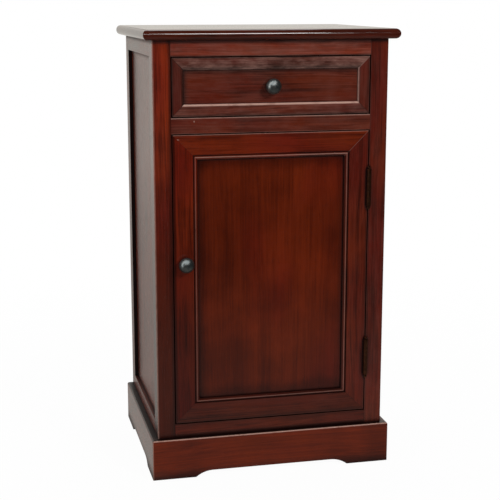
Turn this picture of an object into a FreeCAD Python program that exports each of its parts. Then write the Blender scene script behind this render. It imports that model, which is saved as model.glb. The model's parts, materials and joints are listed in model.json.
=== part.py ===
import FreeCAD, Part
import math
import os

import Sketcher

# A small free-standing cabinet table: four posts joined by rails, loose panels in grooves,
# an inset drawer over an inset door, a moulded top board and a mitred plinth cut to feet.
# Frame: +X to the right as one faces the door, +Y to the back, +Z up, millimetres.
# The origin is on the floor, under the middle of everything that stands over it.

SIZES = [
    # case
    ("overall_height", 762, "floor to the top face"),
    ("case_width", 400, "over the posts"),
    ("case_depth", 322, "over the posts"),
    ("post_width", 30, "post seen from the front"),
    ("post_depth", 32, "post seen from the side"),
    ("top_rail_height", 26.5, "rails under the top, all round"),
    ("middle_rail_height", 26, "rail between drawer and door"),
    ("bottom_rail_height", 23.5, "rails over the plinth, all round"),
    ("web_rail_depth", 60, "front to back, rails over and under the drawer"),
    ("low_rail_depth", 30, "front to back, rail under the door"),
    ("wall_rail_thick", 20, "side and back rails"),
    ("drawer_opening_height", 99, "between the rails over and under the drawer"),
    ("tenon_length", 12, "rail tenons into the posts"),
    ("tenon_shoulder", 4, "rail left above and below a tenon"),
    ("web_tenon_inset", 8, "case face to a front rail's tenon"),
    ("web_tenon_thick", 12, "tenons of the front rails"),
    ("wall_panel_recess", 6.5, "case face to the side and back panels"),
    ("side_panel_thick", 6, "side panels and the wall rails' tenons"),
    ("back_panel_thick", 5, "back panel and the back rails' tenons"),
    ("panel_groove", 5, "depth of the grooves for panels"),
    ("fit", 0.1, "clearance of glued joints and of panels in grooves"),
    ("bottom_board_thick", 9, "floor of the cupboard"),
    ("bottom_board_drop", 4, "rail edge to the cupboard floor"),
    # top board
    ("top_thick", 17, "top board"),
    ("top_side_overhang", 16, "top board past the case"),
    ("top_front_overhang", 17, "top board past the case"),
    ("top_back_overhang", 12, "top board past the case"),
    ("top_upper_round", 8, "rounding of the upper edge"),
    ("top_lower_round", 8, "rounding of the lower edge, as far as the thickness allows"),
    ("top_edge_flat", 0.5, "least flat between the two roundings"),
    # plinth
    ("plinth_height", 71, "floor to the case"),
    ("plinth_thick", 18, "plinth boards"),
    ("plinth_overhang", 11, "plinth past the case, front and sides"),
    ("plinth_arris", 3, "rounding of the plinth's upper edge"),
    ("front_foot", 75, "length of the feet on the front board"),
    ("side_front_foot", 67, "length of the front foot on a side board"),
    ("side_back_foot", 75, "length of the back foot on a side board"),
    ("arch_run", 30, "length of the curve from foot to arch"),
    ("arch_rise", 10.5, "height of the arch over the floor"),
    ("corner_block", 40, "side of the blocks inside the plinth"),
    ("corner_block_height", 52, "height of the blocks inside the plinth"),
    # shelf
    ("shelf_thick", 15, "shelf"),
    ("shelf_height", 232, "cupboard floor to the underside of the shelf"),
    ("shelf_play", 1.2, "shelf to the posts"),
    ("shelf_gap", 2.5, "shelf to the door and to the back panel"),
    ("shelf_pin_radius", 2.5, "shelf pins"),
    ("shelf_pin_reach", 8, "shelf pin outside its hole"),
    ("shelf_pin_depth", 10, "shelf pin inside its hole"),
    ("shelf_pin_setback", 6, "pin to the hidden face of its post"),
    ("shelf_hole_pitch", 32, "between the holes for the pins"),
    ("hole_clearance", 0.05, "round a pin or a screw"),
    # drawer carriage
    ("runner_height", 16, "strip that carries the drawer"),
    ("runner_reach", 20, "carrying face inside the posts"),
    ("guide_height", 12, "lip beside the drawer"),
    ("kicker_width", 24, "strip over the drawer side"),
    ("strip_tenon_length", 8, "tenons of runners and kickers"),
    ("strip_tenon_thick", 8, "tenons of runners and kickers"),
    ("runner_tenon_inset", 3, "post face to the back tenon of a runner"),
    ("closing_stop_length", 18, "blocks that stop the closing drawer"),
    ("closing_stop_width", 30, "blocks that stop the closing drawer"),
    ("closing_stop_height", 5, "blocks that stop the closing drawer"),
    ("closing_stop_spread", 160, "between the middles of the two blocks"),
    # door
    ("door_gap", 1.8, "round the door"),
    ("door_thick", 20, "door frame"),
    ("door_flat", 33.5, "flat face of the door frame"),
    ("quirk_width", 1, "groove beside the bead"),
    ("quirk_depth", 2.2, "groove beside the bead"),
    ("bead_width", 7, "bead on the frame's inner edge"),
    ("bead_rise", 2, "bead over its groove"),
    ("door_panel_recess", 5.5, "door face to the panel"),
    ("door_panel_thick", 6, "door panel"),
    ("door_panel_groove", 8, "depth of the grooves in the door frame"),
    ("door_knob_inset", 19.2, "door edge to the knob"),
    ("door_knob_rise", 32, "middle of the door to the knob"),
    # hinges
    ("hinge_length", 63.5, "butt hinge"),
    ("hinge_inset", 99, "corner of the door opening to the middle of a hinge"),
    ("leaf_thick", 1.2, "hinge leaf"),
    ("leaf_width", 20, "pin to the edge of the leaf"),
    ("knuckle_radius", 3.8, "outside of the knuckles"),
    ("knuckle_count", 5, "knuckles of a hinge, shared by its two leaves"),
    ("knuckle_gap", 0.2, "between knuckles, along the pin"),
    ("hinge_standoff", 0.4, "knuckle to the case face"),
    ("hinge_pin_radius", 1.5, "hinge pin"),
    ("finial_radius", 2.7, "ball on each end of the pin"),
    ("finial_neck", 1, "straight neck under each ball"),
    ("hinge_screw_pitch", 22, "between the screws of a leaf"),
    ("hinge_screw_setback", 12, "pin to the line of screws"),
    ("hinge_head_radius", 2.6, "hinge and catch screws"),
    ("hinge_head_depth", 1.1, "hinge and catch screws"),
    ("hinge_shank_radius", 1.3, "hinge and catch screws"),
    ("hinge_screw_length", 13, "hinge and catch screws"),
    # catch
    ("catch_width", 44, "foot of the magnetic catch"),
    ("catch_foot_thick", 2.5, "foot of the magnetic catch"),
    ("catch_box_width", 24, "housing of the magnetic catch"),
    ("catch_box_height", 11, "housing of the magnetic catch"),
    ("catch_depth", 14, "front to back"),
    ("catch_inset", 42, "post to the middle of the catch"),
    ("strike_thick", 1.2, "plate on the door"),
    ("strike_width", 34, "plate on the door"),
    ("strike_height", 11, "plate on the door"),
    ("strike_gap", 0.3, "plate to the housing"),
    ("strike_drop", 1, "edge of the door to the plate"),
    # drawer
    ("drawer_gap", 1.8, "round the drawer front"),
    ("drawer_frame_thick", 14, "mitred frame of the drawer front"),
    ("drawer_flat", 16, "flat face of the frame"),
    ("drawer_slope_width", 4, "sloped inner edge of the frame"),
    ("drawer_slope_depth", 3.2, "sloped inner edge of the frame"),
    ("drawer_lip_thick", 4.5, "frame in front of the panel"),
    ("drawer_rebate", 6, "panel behind the frame"),
    ("box_side_clearance", 1.5, "drawer side to the post"),
    ("slide_clearance", 0.3, "under the drawer"),
    ("box_head_clearance", 5.7, "drawer sides to the rail over them"),
    ("box_back_clearance", 26, "drawer box to the back rail, room for the turn button"),
    ("box_front_thick", 15, "front of the drawer box"),
    ("box_side_thick", 12, "sides of the drawer box"),
    ("box_back_thick", 12, "back of the drawer box"),
    ("box_back_drop", 12, "drawer back under the top of the sides"),
    ("box_rebate", 6, "drawer back let into the sides"),
    ("box_bottom_thick", 4, "bottom of the drawer box"),
    ("box_bottom_lift", 9, "drawer bottom over the edge of the sides"),
    ("box_groove", 5, "drawer bottom let into the sides and the front"),
    ("tail_count", 3, "dovetails at each front corner"),
    ("tail_length", 11, "dovetails along the drawer side"),
    ("tail_slope", 0.16, "dovetail, sideways per length"),
    ("tail_spacing", 8, "wood between the wide ends of the tails"),
    # outward stop of the drawer
    ("button_thick", 4, "turn button behind the drawer"),
    ("button_width", 14, "turn button"),
    ("button_reach", 36, "pivot to the tip"),
    ("button_drop", 10, "pivot under the edge of the drawer back"),
    ("button_gap", 0.2, "button to the drawer back and to its screw"),
    ("button_screw_radius", 2, "pivot screw"),
    ("button_screw_length", 15, "pivot screw"),
    ("button_head_radius", 4, "pivot screw"),
    ("button_head_depth", 2.2, "pivot screw"),
    # knobs
    ("knob_radius", 13, "head of a knob"),
    ("knob_projection", 25, "knob over the door face"),
    ("knob_rim", 14, "door face to the widest part of the knob"),
    ("knob_neck_radius", 5.5, "neck of a knob"),
    ("knob_neck_end", 8, "door face to the end of the neck"),
    ("knob_base_radius", 8.5, "foot of a knob"),
    ("knob_base_thick", 2, "foot of a knob"),
    ("knob_screw_radius", 2, "machine screw of a knob"),
    ("knob_screw_bite", 11, "screw inside the knob"),
    ("knob_head_radius", 4, "head of that screw"),
    ("knob_head_depth", 2.4, "head of that screw"),
    # screws of the top
    ("top_screw_length", 37, "screws from the kickers into the top"),
    ("top_shank_radius", 2, "screws of the top"),
    ("top_head_radius", 4, "screws of the top"),
    ("top_head_depth", 3, "screws of the top"),
    ("top_screw_inset", 34, "end of a kicker to its screw"),
]

# Places worked out from the sizes, in the frame of the whole table.
LAYOUT = [
    ("front", "(max(Sizes.knob_projection; Sizes.top_front_overhang) - Sizes.case_depth"
              " - Sizes.top_back_overhang) / 2"),
    ("back", "Layout.front + Sizes.case_depth"),
    ("side", "Sizes.case_width / 2"),
    ("case_top", "Sizes.overall_height - Sizes.top_thick"),
    ("post_height", "Layout.case_top - Sizes.plinth_height"),
    ("opening_half", "Layout.side - Sizes.post_width"),
    ("post_back", "Layout.back - Sizes.post_depth"),
    ("low_rail_top", "Sizes.plinth_height + Sizes.bottom_rail_height"),
    ("drawer_ceiling", "Layout.case_top - Sizes.top_rail_height"),
    ("drawer_floor", "Layout.drawer_ceiling - Sizes.drawer_opening_height"),
    ("door_ceiling", "Layout.drawer_floor - Sizes.middle_rail_height"),
    ("opening_middle", "(Layout.low_rail_top + Layout.door_ceiling) / 2"),
    ("depth_middle", "(Layout.front + Layout.back) / 2"),
    ("panel_inner", "Layout.side - Sizes.wall_panel_recess - Sizes.side_panel_thick"),
    ("groove_fit", "Sizes.panel_groove - Sizes.fit"),
    ("board_top", "Layout.low_rail_top - Sizes.bottom_board_drop"),
    ("mortise_depth", "Sizes.tenon_length + Sizes.fit"),
    ("door_half", "Layout.opening_half - Sizes.door_gap"),
    ("door_bottom", "Layout.low_rail_top + Sizes.door_gap"),
    ("door_top", "Layout.door_ceiling - Sizes.door_gap"),
    ("door_member", "Sizes.door_flat + Sizes.quirk_width + Sizes.bead_width"),
    ("pin_x", "Layout.opening_half - Sizes.door_gap / 2"),
    ("pin_y", "Layout.front - Sizes.knuckle_radius - Sizes.hinge_standoff"),
    ("hinge_low", "Layout.low_rail_top + Sizes.hinge_inset - Sizes.hinge_length / 2"),
    ("catch_x", "-Layout.opening_half + Sizes.catch_inset"),
    ("strike_back", "Layout.front + Sizes.door_thick + Sizes.strike_thick"),
    ("catch_front", "Layout.strike_back + Sizes.strike_gap"),
    ("drawer_half", "Layout.opening_half - Sizes.drawer_gap"),
    ("drawer_member", "Sizes.drawer_flat + Sizes.drawer_slope_width"),
    ("drawer_middle", "(Layout.drawer_floor + Layout.drawer_ceiling) / 2"),
    ("box_half", "Layout.opening_half - Sizes.box_side_clearance"),
    ("box_front", "Layout.front + Sizes.drawer_frame_thick"),
    ("box_floor", "Layout.drawer_floor + Sizes.slide_clearance"),
    ("box_height", "Sizes.drawer_opening_height - Sizes.slide_clearance - Sizes.box_head_clearance"),
    ("box_back", "Layout.back - Sizes.wall_rail_thick - Sizes.box_back_clearance"),
    ("box_depth", "Layout.box_back - Layout.box_front"),
    ("stop_front", "Layout.box_front + Sizes.box_front_thick + Sizes.slide_clearance"),
    ("web_back", "Layout.front + Sizes.web_rail_depth"),
    ("runner_tenon", "Layout.drawer_floor - (Sizes.runner_height + Sizes.strip_tenon_thick) / 2"),
    ("button_z", "Layout.box_floor + Layout.box_height - Sizes.box_back_drop - Sizes.button_drop"),
    ("shelf_under", "Layout.board_top + Sizes.shelf_height"),
    ("pin_front", "Layout.front + Sizes.post_depth - Sizes.shelf_pin_setback"),
    ("pin_back", "Layout.back - Sizes.post_depth + Sizes.shelf_pin_setback"),
]

SPARE = "1"   # how far a cutting outline runs past the wood that it cuts
BEND = "0.7"  # radius of a free curve over its chord; more than a half
TOUCH = 0.001  # how close a coordinate has to be to count as the same

PLANES = {"XY": ("XY_Plane", 1), "XZ": ("XZ_Plane", -1), "YZ": ("YZ_Plane", 1)}
UPRIGHT = FreeCAD.Rotation()
TO_RIGHT = FreeCAD.Rotation(FreeCAD.Vector(0, 1, 0), 90)
TO_LEFT = FreeCAD.Rotation(FreeCAD.Vector(0, 1, 0), -90)
TO_FRONT = FreeCAD.Rotation(FreeCAD.Vector(1, 0, 0), 90)
UPSIDE_DOWN = FreeCAD.Rotation(FreeCAD.Vector(0, 1, 0), 180)
ALONG_SIDE = FreeCAD.Rotation(FreeCAD.Vector(0, 0, 1), -90)
HALF_TURN = FreeCAD.Rotation(FreeCAD.Vector(0, 0, 1), 180)

DOC = FreeCAD.newDocument("cabinet_table")
NODES = []


def fill_sheets():
    """Write the driving sizes and the places worked out from them."""
    sizes = DOC.addObject("Spreadsheet::Sheet", "Sizes")
    for row, (name, number, meaning) in enumerate(SIZES, start=1):
        sizes.set(f"A{row}", name)
        sizes.set(f"B{row}", str(number))
        sizes.set(f"C{row}", meaning)
        sizes.setAlias(f"B{row}", name)
    layout = DOC.addObject("Spreadsheet::Sheet", "Layout")
    for row, (name, formula) in enumerate(LAYOUT, start=1):
        layout.set(f"A{row}", name)
        layout.set(f"B{row}", "=" + formula.replace("Layout.", ""))
        layout.setAlias(f"B{row}", name)
    DOC.recompute()
    return sizes


def value(expression):
    """The number that an expression over the sheets gives now."""
    return float(SHEET.evalExpression(expression))


def place(thing, x, y, z, rotation=UPRIGHT):
    """Stand an object at a place bound to the sheets."""
    thing.Placement = FreeCAD.Placement(FreeCAD.Vector(), rotation)
    for axis, expression in zip("xyz", (x, y, z)):
        thing.setExpression(".Placement.Base." + axis, expression)


def new_body(name, x="0", y="0", z="0", rotation=UPRIGHT):
    """A body with its own origin at the given place."""
    body = DOC.addObject("PartDesign::Body", name)
    place(body, x, y, z, rotation)
    return body


def keep(thing, name=None):
    """List an object as a finished piece, under its own name."""
    if name:
        thing.Label = name
    NODES.append(thing)
    return thing


def rectangle(x0, y0, x1, y1):
    """Corners of an upright rectangle."""
    return [(x0, y0), (x1, y0), (x1, y1), (x0, y1)]


def arc_edge(start, end, radius, turn):
    """A round edge; turn 1 keeps its centre on the left, -1 on the right."""
    chord = end - start
    left = FreeCAD.Vector(-chord.y, chord.x, 0).normalize()
    offset = math.sqrt(max(radius ** 2 - (chord.Length / 2) ** 2, 0))
    centre = (start + end) * 0.5 + left * offset * turn
    first, last = (start, end) if turn > 0 else (end, start)
    angles = [math.atan2(spot.y - centre.y, spot.x - centre.x) for spot in (first, last)]
    return Part.ArcOfCircle(Part.Circle(centre, FreeCAD.Vector(0, 0, 1), radius), *angles)


def bind(sketch, kind, geometry, number, expression):
    """Add a constraint whose value is bound to the sheets."""
    index = sketch.addConstraint(Sketcher.Constraint(kind, *geometry, number))
    sketch.setExpression(f"Constraints[{index}]", expression)


def draw_outline(sketch, corners):
    """A closed outline; a corner with a radius and a turn starts a round edge."""
    first = sketch.GeometryCount
    spots = [FreeCAD.Vector(value(corner[0]), value(corner[1]), 0) for corner in corners]
    ends = []
    for index, corner in enumerate(corners):
        start, end = spots[index], spots[(index + 1) % len(spots)]
        if len(corner) == 2:
            sketch.addGeometry(Part.LineSegment(start, end))
            ends.append((1, 2))
            continue
        radius, turn = corner[2:]
        sketch.addGeometry(arc_edge(start, end, value(radius), turn))
        bind(sketch, "Radius", (first + index,), value(radius), radius)
        ends.append((1, 2) if turn > 0 else (2, 1))
    for index, corner in enumerate(corners):
        after = (index + 1) % len(corners)
        joint = Sketcher.Constraint("Coincident", first + index, ends[index][1],
                                    first + after, ends[after][0])
        sketch.addConstraint(joint)
        spot = (-1, 1, first + index, ends[index][0])
        bind(sketch, "DistanceX", spot, spots[index].x, corner[0])
        bind(sketch, "DistanceY", spot, spots[index].y, corner[1])


def draw_circle(sketch, x, y, radius):
    """A circle about a place bound to the sheets."""
    index = sketch.GeometryCount
    centre = FreeCAD.Vector(value(x), value(y), 0)
    sketch.addGeometry(Part.Circle(centre, FreeCAD.Vector(0, 0, 1), value(radius)))
    bind(sketch, "Radius", (index,), value(radius), radius)
    bind(sketch, "DistanceX", (-1, 1, index, 3), centre.x, x)
    bind(sketch, "DistanceY", (-1, 1, index, 3), centre.y, y)


def new_sketch(body, name, plane, loops, at="0"):
    """A sketch on one of the body's planes, moved along its axis to 'at'."""
    role, normal = PLANES[plane]
    sketch = body.newObject("Sketcher::SketchObject", name + "_sketch")
    support = [item for item in body.Origin.OriginFeatures if item.Role == role][0]
    sketch.AttachmentSupport = [(support, "")]
    sketch.MapMode = "FlatFace"
    sketch.setExpression(".AttachmentOffset.Base.z", f"{normal} * ({at})")
    for loop in loops:
        if loop[0] == "circle":
            draw_circle(sketch, *loop[1:])
        else:
            draw_outline(sketch, loop)
    return sketch


def add(body, name, plane, loops, length, at="0", toward=1):
    """Pad outlines along the plane's axis: toward 1, -1, or 0 for half each way."""
    feature = body.newObject("PartDesign::Pad", name)
    feature.Profile = new_sketch(body, name, plane, loops, at)
    feature.setExpression("Length", length)
    if toward == 0:
        feature.SideType = "Symmetric"
    else:
        feature.Reversed = toward != PLANES[plane][1]
    DOC.recompute()
    return feature


def cut(body, name, plane, loops, depth=None, at="0", toward=0):
    """Pocket outlines along the plane's axis; with no depth, right through both ways."""
    before = body.Shape.Volume
    feature = body.newObject("PartDesign::Pocket", name)
    feature.Profile = new_sketch(body, name, plane, loops, at)
    if depth is None:
        feature.Type = "ThroughAll"
        feature.SideType = "Symmetric"
    else:
        feature.setExpression("Length", depth)
        feature.Reversed = toward == PLANES[plane][1]
    DOC.recompute()
    if not body.Shape.Volume < before:
        raise RuntimeError(f"{body.Name}: {name} cuts nothing")
    return feature


def turn_round(body, name, plane, corners):
    """Revolve an outline about the sketch's upright axis."""
    feature = body.newObject("PartDesign::Revolution", name)
    sketch = new_sketch(body, name, plane, [corners])
    feature.Profile = sketch
    feature.ReferenceAxis = (sketch, ["V_Axis"])
    feature.Angle = 360
    DOC.recompute()
    return feature


def round_edges(body, name, radius, chosen):
    """Fillet the edges of the body's tip for which chosen(edge) holds."""
    base = body.Tip
    edges = [f"Edge{number}" for number, edge in enumerate(base.Shape.Edges, start=1) if chosen(edge)]
    feature = body.newObject("PartDesign::Fillet", name)
    feature.Base = (base, edges)
    feature.setExpression("Radius", radius)
    DOC.recompute()
    return feature


def near(number, expression):
    """Whether a coordinate lies where an expression puts it."""
    return abs(number - value(expression)) < TOUCH


def mirrored(name, source, normal=(1, 0, 0), z="0"):
    """The same object seen in a mirror through the table's middle, or through a height."""
    mirror = DOC.addObject("Part::Mirroring", name)
    mirror.Source = source
    mirror.Normal = FreeCAD.Vector(*normal)
    mirror.setExpression("Base.z", z)
    return mirror


def group(name, members):
    """Several solids in one piece's node."""
    compound = DOC.addObject("Part::Compound", name)
    compound.Links = members
    return compound


def copies(name, source, spots):
    """The same solid at several places: (x, y, z, rotation)."""
    links = []
    for number, (x, y, z, rotation) in enumerate(spots, start=1):
        link = DOC.addObject("App::Link", f"{name}_{number}")
        link.LinkedObject = source
        place(link, x, y, z, rotation)
        links.append(link)
    return group(name, links)


def drilled(name, blank, *tools):
    """The blank less every tool, kept as a finished piece."""
    whole = blank
    for number, tool in enumerate(tools, start=1):
        last = number == len(tools)
        step = DOC.addObject("Part::Cut", name if last else f"{name}_step_{number}")
        step.Base = whole
        step.Tool = tool
        whole = step
    return keep(whole)


# ---------------------------------------------------------------- screws

def wood_screw(name, kind, grow="0"):
    """A countersunk screw along +Z with its face at Z = 0; grow makes its hole."""
    head = f"(Sizes.{kind}_head_radius + {grow})"
    shank = f"(Sizes.{kind}_shank_radius + {grow})"
    depth = f"Sizes.{kind}_head_depth"
    length = f"(Sizes.{kind}_screw_length + {grow})"
    body = new_body(name)
    corners = [("0", f"-({grow})"), (head, f"-({grow})"), (head, "0"), (shank, depth),
               (shank, f"{length} - {shank}"), ("0", length)]
    if grow == "0":
        del corners[1]
        corners[0] = ("0", "0")
    turn_round(body, name + "_turned", "XZ", corners)
    return body


def machine_screw(name, head_radius, head_depth, shank_radius, length):
    """A cheese-head screw along +Z, the underside of its head at Z = 0."""
    body = new_body(name)
    corners = [("0", f"-{head_depth}"), (head_radius, f"-{head_depth}"), (head_radius, "0"),
               (shank_radius, "0"), (shank_radius, length), ("0", length)]
    turn_round(body, name + "_turned", "XZ", corners)
    return body


def round_hole(name, radius, length):
    """The tool for a plain hole along +Z."""
    body = new_body(name)
    add(body, name + "_bore", "XY", [("circle", "0", "0", f"{radius} + Sizes.hole_clearance")],
        f"{length} + Sizes.hole_clearance")
    return body


# ---------------------------------------------------------------- case

def wall_tenons():
    """Lowest and highest point of the wall rails' tenons, over the foot of a post."""
    upper = "Layout.drawer_ceiling - Sizes.plinth_height"
    return [("Sizes.tenon_shoulder", "Sizes.bottom_rail_height - Sizes.panel_groove"),
            (f"{upper} + Sizes.panel_groove", "Layout.post_height - Sizes.tenon_shoulder")]


def panel_span(reach):
    """Lowest and highest point of a wall panel that enters its grooves by reach."""
    return (f"Sizes.bottom_rail_height - {reach}",
            f"Layout.drawer_ceiling - Sizes.plinth_height + {reach}")


def wall_joints(post, name, plane, near_face, far_face, at, toward):
    """Mortises for a lower and an upper wall rail, and the groove for the panel between."""
    slots = [rectangle(f"{near_face} - Sizes.fit", f"{low} - Sizes.fit",
                       f"{far_face} + Sizes.fit", f"{high} + Sizes.fit")
             for low, high in wall_tenons()]
    cut(post, name + "_mortises", plane, slots, "Layout.mortise_depth", at, toward)
    low, high = panel_span("Sizes.panel_groove")
    groove = rectangle(f"{near_face} - Sizes.fit", low, f"{far_face} + Sizes.fit", high)
    cut(post, name + "_groove", plane, [groove], "Sizes.panel_groove", at, toward)


def shelf_holes(post, y):
    """A row of holes for the shelf pins in the post's inner face."""
    middle = "Layout.shelf_under - Sizes.shelf_pin_radius - Sizes.plinth_height"
    holes = [("circle", y, f"{middle} + {step} * Sizes.shelf_hole_pitch",
              "Sizes.shelf_pin_radius + Sizes.hole_clearance") for step in (-1, 0, 1)]
    cut(post, "shelf_holes", "YZ", holes, "Sizes.shelf_pin_depth + Sizes.hole_clearance",
        "Sizes.post_width", -1)


def post_blank(name, y):
    """A plain left post standing on the plinth."""
    post = new_body(name, "-Layout.side", y, "Sizes.plinth_height")
    section = rectangle("0", "0", "Sizes.post_width", "Sizes.post_depth")
    add(post, name + "_length", "XY", [section], "Layout.post_height")
    return post


def front_post():
    """Left front post: mortises for three front rails and two side rails, a panel groove."""
    post = post_blank("post_front_left", "Layout.front")
    rails = [("0", "Sizes.bottom_rail_height"),
             ("Layout.door_ceiling - Sizes.plinth_height", "Sizes.middle_rail_height"),
             ("Layout.drawer_ceiling - Sizes.plinth_height", "Sizes.top_rail_height")]
    mortises = [rectangle("Sizes.web_tenon_inset - Sizes.fit",
                          f"{foot} + Sizes.tenon_shoulder - Sizes.fit",
                          "Sizes.web_tenon_inset + Sizes.web_tenon_thick + Sizes.fit",
                          f"{foot} + {height} - Sizes.tenon_shoulder + Sizes.fit")
                for foot, height in rails]
    cut(post, "front_mortises", "YZ", mortises, "Layout.mortise_depth", "Sizes.post_width", -1)
    wall_joints(post, "side", "XZ", "Sizes.wall_panel_recess",
                "Sizes.wall_panel_recess + Sizes.side_panel_thick", "Sizes.post_depth", -1)
    shelf_holes(post, "Sizes.post_depth - Sizes.shelf_pin_setback")
    return keep(post)


def back_post():
    """Left back post: mortises for side rails, back rails and a runner, two panel grooves."""
    post = post_blank("post_back_left", "Layout.post_back")
    wall_joints(post, "side", "XZ", "Sizes.wall_panel_recess",
                "Sizes.wall_panel_recess + Sizes.side_panel_thick", "0", 1)
    wall_joints(post, "back", "YZ",
                "Sizes.post_depth - Sizes.wall_panel_recess - Sizes.back_panel_thick",
                "Sizes.post_depth - Sizes.wall_panel_recess", "Sizes.post_width", -1)
    edge = "Sizes.post_width - Sizes.runner_tenon_inset"
    foot = "Layout.runner_tenon - Sizes.plinth_height"
    mortise = rectangle(f"{edge} - Sizes.strip_tenon_thick - Sizes.fit", f"{foot} - Sizes.fit",
                        f"{edge} + Sizes.fit", f"{foot} + Sizes.strip_tenon_thick + Sizes.fit")
    cut(post, "runner_mortise", "XZ", [mortise], "Sizes.strip_tenon_length + Sizes.fit", "0", 1)
    shelf_holes(post, "Sizes.shelf_pin_setback")
    return keep(post)


def front_rail(name, z, height, section):
    """A rail between the front posts, with a tenon on each end."""
    rail = new_body(name, "0", "Layout.front", z)
    add(rail, name + "_length", "YZ", [section], "2 * Layout.opening_half", toward=0)
    tenon = rectangle("Sizes.web_tenon_inset", "Sizes.tenon_shoulder",
                      "Sizes.web_tenon_inset + Sizes.web_tenon_thick",
                      f"{height} - Sizes.tenon_shoulder")
    add(rail, name + "_tenons", "YZ", [tenon],
        "2 * (Layout.opening_half + Sizes.tenon_length)", toward=0)
    return rail


def strip_mortises(rail, name, middle, foot, at, toward):
    """Two mortises, left and right of the middle, for the tenons of a pair of strips."""
    half = "(Sizes.strip_tenon_thick / 2 + Sizes.fit)"
    slots = [rectangle(f"{side} * {middle} - {half}", f"{foot} - Sizes.fit",
                       f"{side} * {middle} + {half}", f"{foot} + Sizes.strip_tenon_thick + Sizes.fit")
             for side in (-1, 1)]
    cut(rail, name, "XZ", slots, "Sizes.strip_tenon_length + Sizes.fit", at, toward)


def web_rails():
    """The rails over and under the drawer; the catch is screwed under the lower one."""
    names = (("front_rail_top", "Layout.drawer_ceiling", "Sizes.top_rail_height"),
             ("front_rail_middle_blank", "Layout.door_ceiling", "Sizes.middle_rail_height"))
    rails = [front_rail(name, z, height, rectangle("0", "0", "Sizes.web_rail_depth", height))
             for name, z, height in names]
    strip_mortises(rails[0], "kicker_mortises", "(Layout.opening_half - Sizes.kicker_width / 2)",
                   "(Sizes.top_rail_height - Sizes.strip_tenon_thick) / 2", "Sizes.web_rail_depth", -1)
    strip_mortises(rails[1], "runner_mortises", "(Layout.opening_half - Sizes.runner_reach / 2)",
                   "Layout.runner_tenon - Layout.door_ceiling", "Sizes.web_rail_depth", -1)
    return rails


def board_groove():
    """Lowest and highest point of the groove for the cupboard floor, over the rail's foot."""
    top = "Sizes.bottom_rail_height - Sizes.bottom_board_drop"
    return f"{top} - Sizes.bottom_board_thick - Sizes.fit", f"{top} + Sizes.fit"


def low_rail():
    """The rail under the door, grooved at the back for the cupboard floor."""
    low, high = board_groove()
    depth, height = "Sizes.low_rail_depth", "Sizes.bottom_rail_height"
    bed = f"{depth} - Sizes.panel_groove"
    section = [("0", "0"), (depth, "0"), (depth, low), (bed, low), (bed, high), (depth, high),
               (depth, height), ("0", height)]
    return keep(front_rail("front_rail_bottom", "Sizes.plinth_height", height, section))


def wall_section(sign, panel, lower):
    """Section of a side or back rail; sign tells which way is into the case."""
    slot = (f"{sign} * (Sizes.wall_panel_recess - Sizes.fit)",
            f"{sign} * (Sizes.wall_panel_recess + {panel} + Sizes.fit)")
    inner = f"{sign} * Sizes.wall_rail_thick"
    if not lower:
        return [("0", "0"), (slot[0], "0"), (slot[0], "Sizes.panel_groove"),
                (slot[1], "Sizes.panel_groove"), (slot[1], "0"), (inner, "0"),
                (inner, "Sizes.top_rail_height"), ("0", "Sizes.top_rail_height")]
    low, high = board_groove()
    bed = f"{sign} * (Sizes.wall_rail_thick - Sizes.panel_groove)"
    top = "Sizes.bottom_rail_height"
    dip = f"{top} - Sizes.panel_groove"
    return [("0", "0"), (inner, "0"), (inner, low), (bed, low), (bed, high), (inner, high),
            (inner, top), (slot[1], top), (slot[1], dip), (slot[0], dip), (slot[0], top), ("0", top)]


def wall_rail(name, plane, spot, sign, panel, lower, length):
    """A rail grooved for its panel, with a tenon as thick as the panel on each end."""
    rail = new_body(name, *spot, "Sizes.plinth_height" if lower else "Layout.drawer_ceiling")
    add(rail, name + "_length", plane, [wall_section(sign, panel, lower)], length, toward=0)
    if lower:
        heights = ("Sizes.tenon_shoulder", "Sizes.bottom_rail_height - Sizes.panel_groove")
    else:
        heights = ("Sizes.panel_groove", "Sizes.top_rail_height - Sizes.tenon_shoulder")
    tenon = rectangle(f"{sign} * Sizes.wall_panel_recess", heights[0],
                      f"{sign} * (Sizes.wall_panel_recess + {panel})", heights[1])
    add(rail, name + "_tenons", plane, [tenon], f"{length} + 2 * Sizes.tenon_length", toward=0)
    return keep(rail)


def walls():
    """Side and back rails, and the loose panels between them."""
    inside = "(Sizes.case_depth - 2 * Sizes.post_depth)"
    spot = ("-Layout.side", "Layout.depth_middle")
    for level, lower in (("top", False), ("bottom", True)):
        rail = wall_rail(f"side_rail_{level}_left", "XZ", spot, 1, "Sizes.side_panel_thick",
                         lower, inside)
        keep(mirrored(f"side_rail_{level}_right", rail))
        back = wall_rail(f"back_rail_{level}", "YZ", ("0", "Layout.back"), -1,
                         "Sizes.back_panel_thick", lower, "2 * Layout.opening_half")
        if not lower:
            strip_mortises(back, "kicker_mortises",
                           "(Layout.opening_half - Sizes.kicker_width / 2)",
                           "(Sizes.top_rail_height - Sizes.strip_tenon_thick) / 2",
                           "-Sizes.wall_rail_thick", 1)
    low, high = panel_span("Layout.groove_fit")
    side = new_body("side_panel_left", "-Layout.side + Sizes.wall_panel_recess",
                    "Layout.depth_middle", "Sizes.plinth_height")
    half = f"({inside} / 2 + Layout.groove_fit)"
    add(side, "side_panel", "YZ", [rectangle(f"-{half}", low, half, high)], "Sizes.side_panel_thick")
    keep(side)
    keep(mirrored("side_panel_right", side))
    back = new_body("back_panel", "0", "Layout.back - Sizes.wall_panel_recess", "Sizes.plinth_height")
    half = "(Layout.opening_half + Layout.groove_fit)"
    add(back, "back_sheet", "XZ", [rectangle(f"-{half}", low, half, high)], "Sizes.back_panel_thick",
        toward=-1)
    keep(back)


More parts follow.
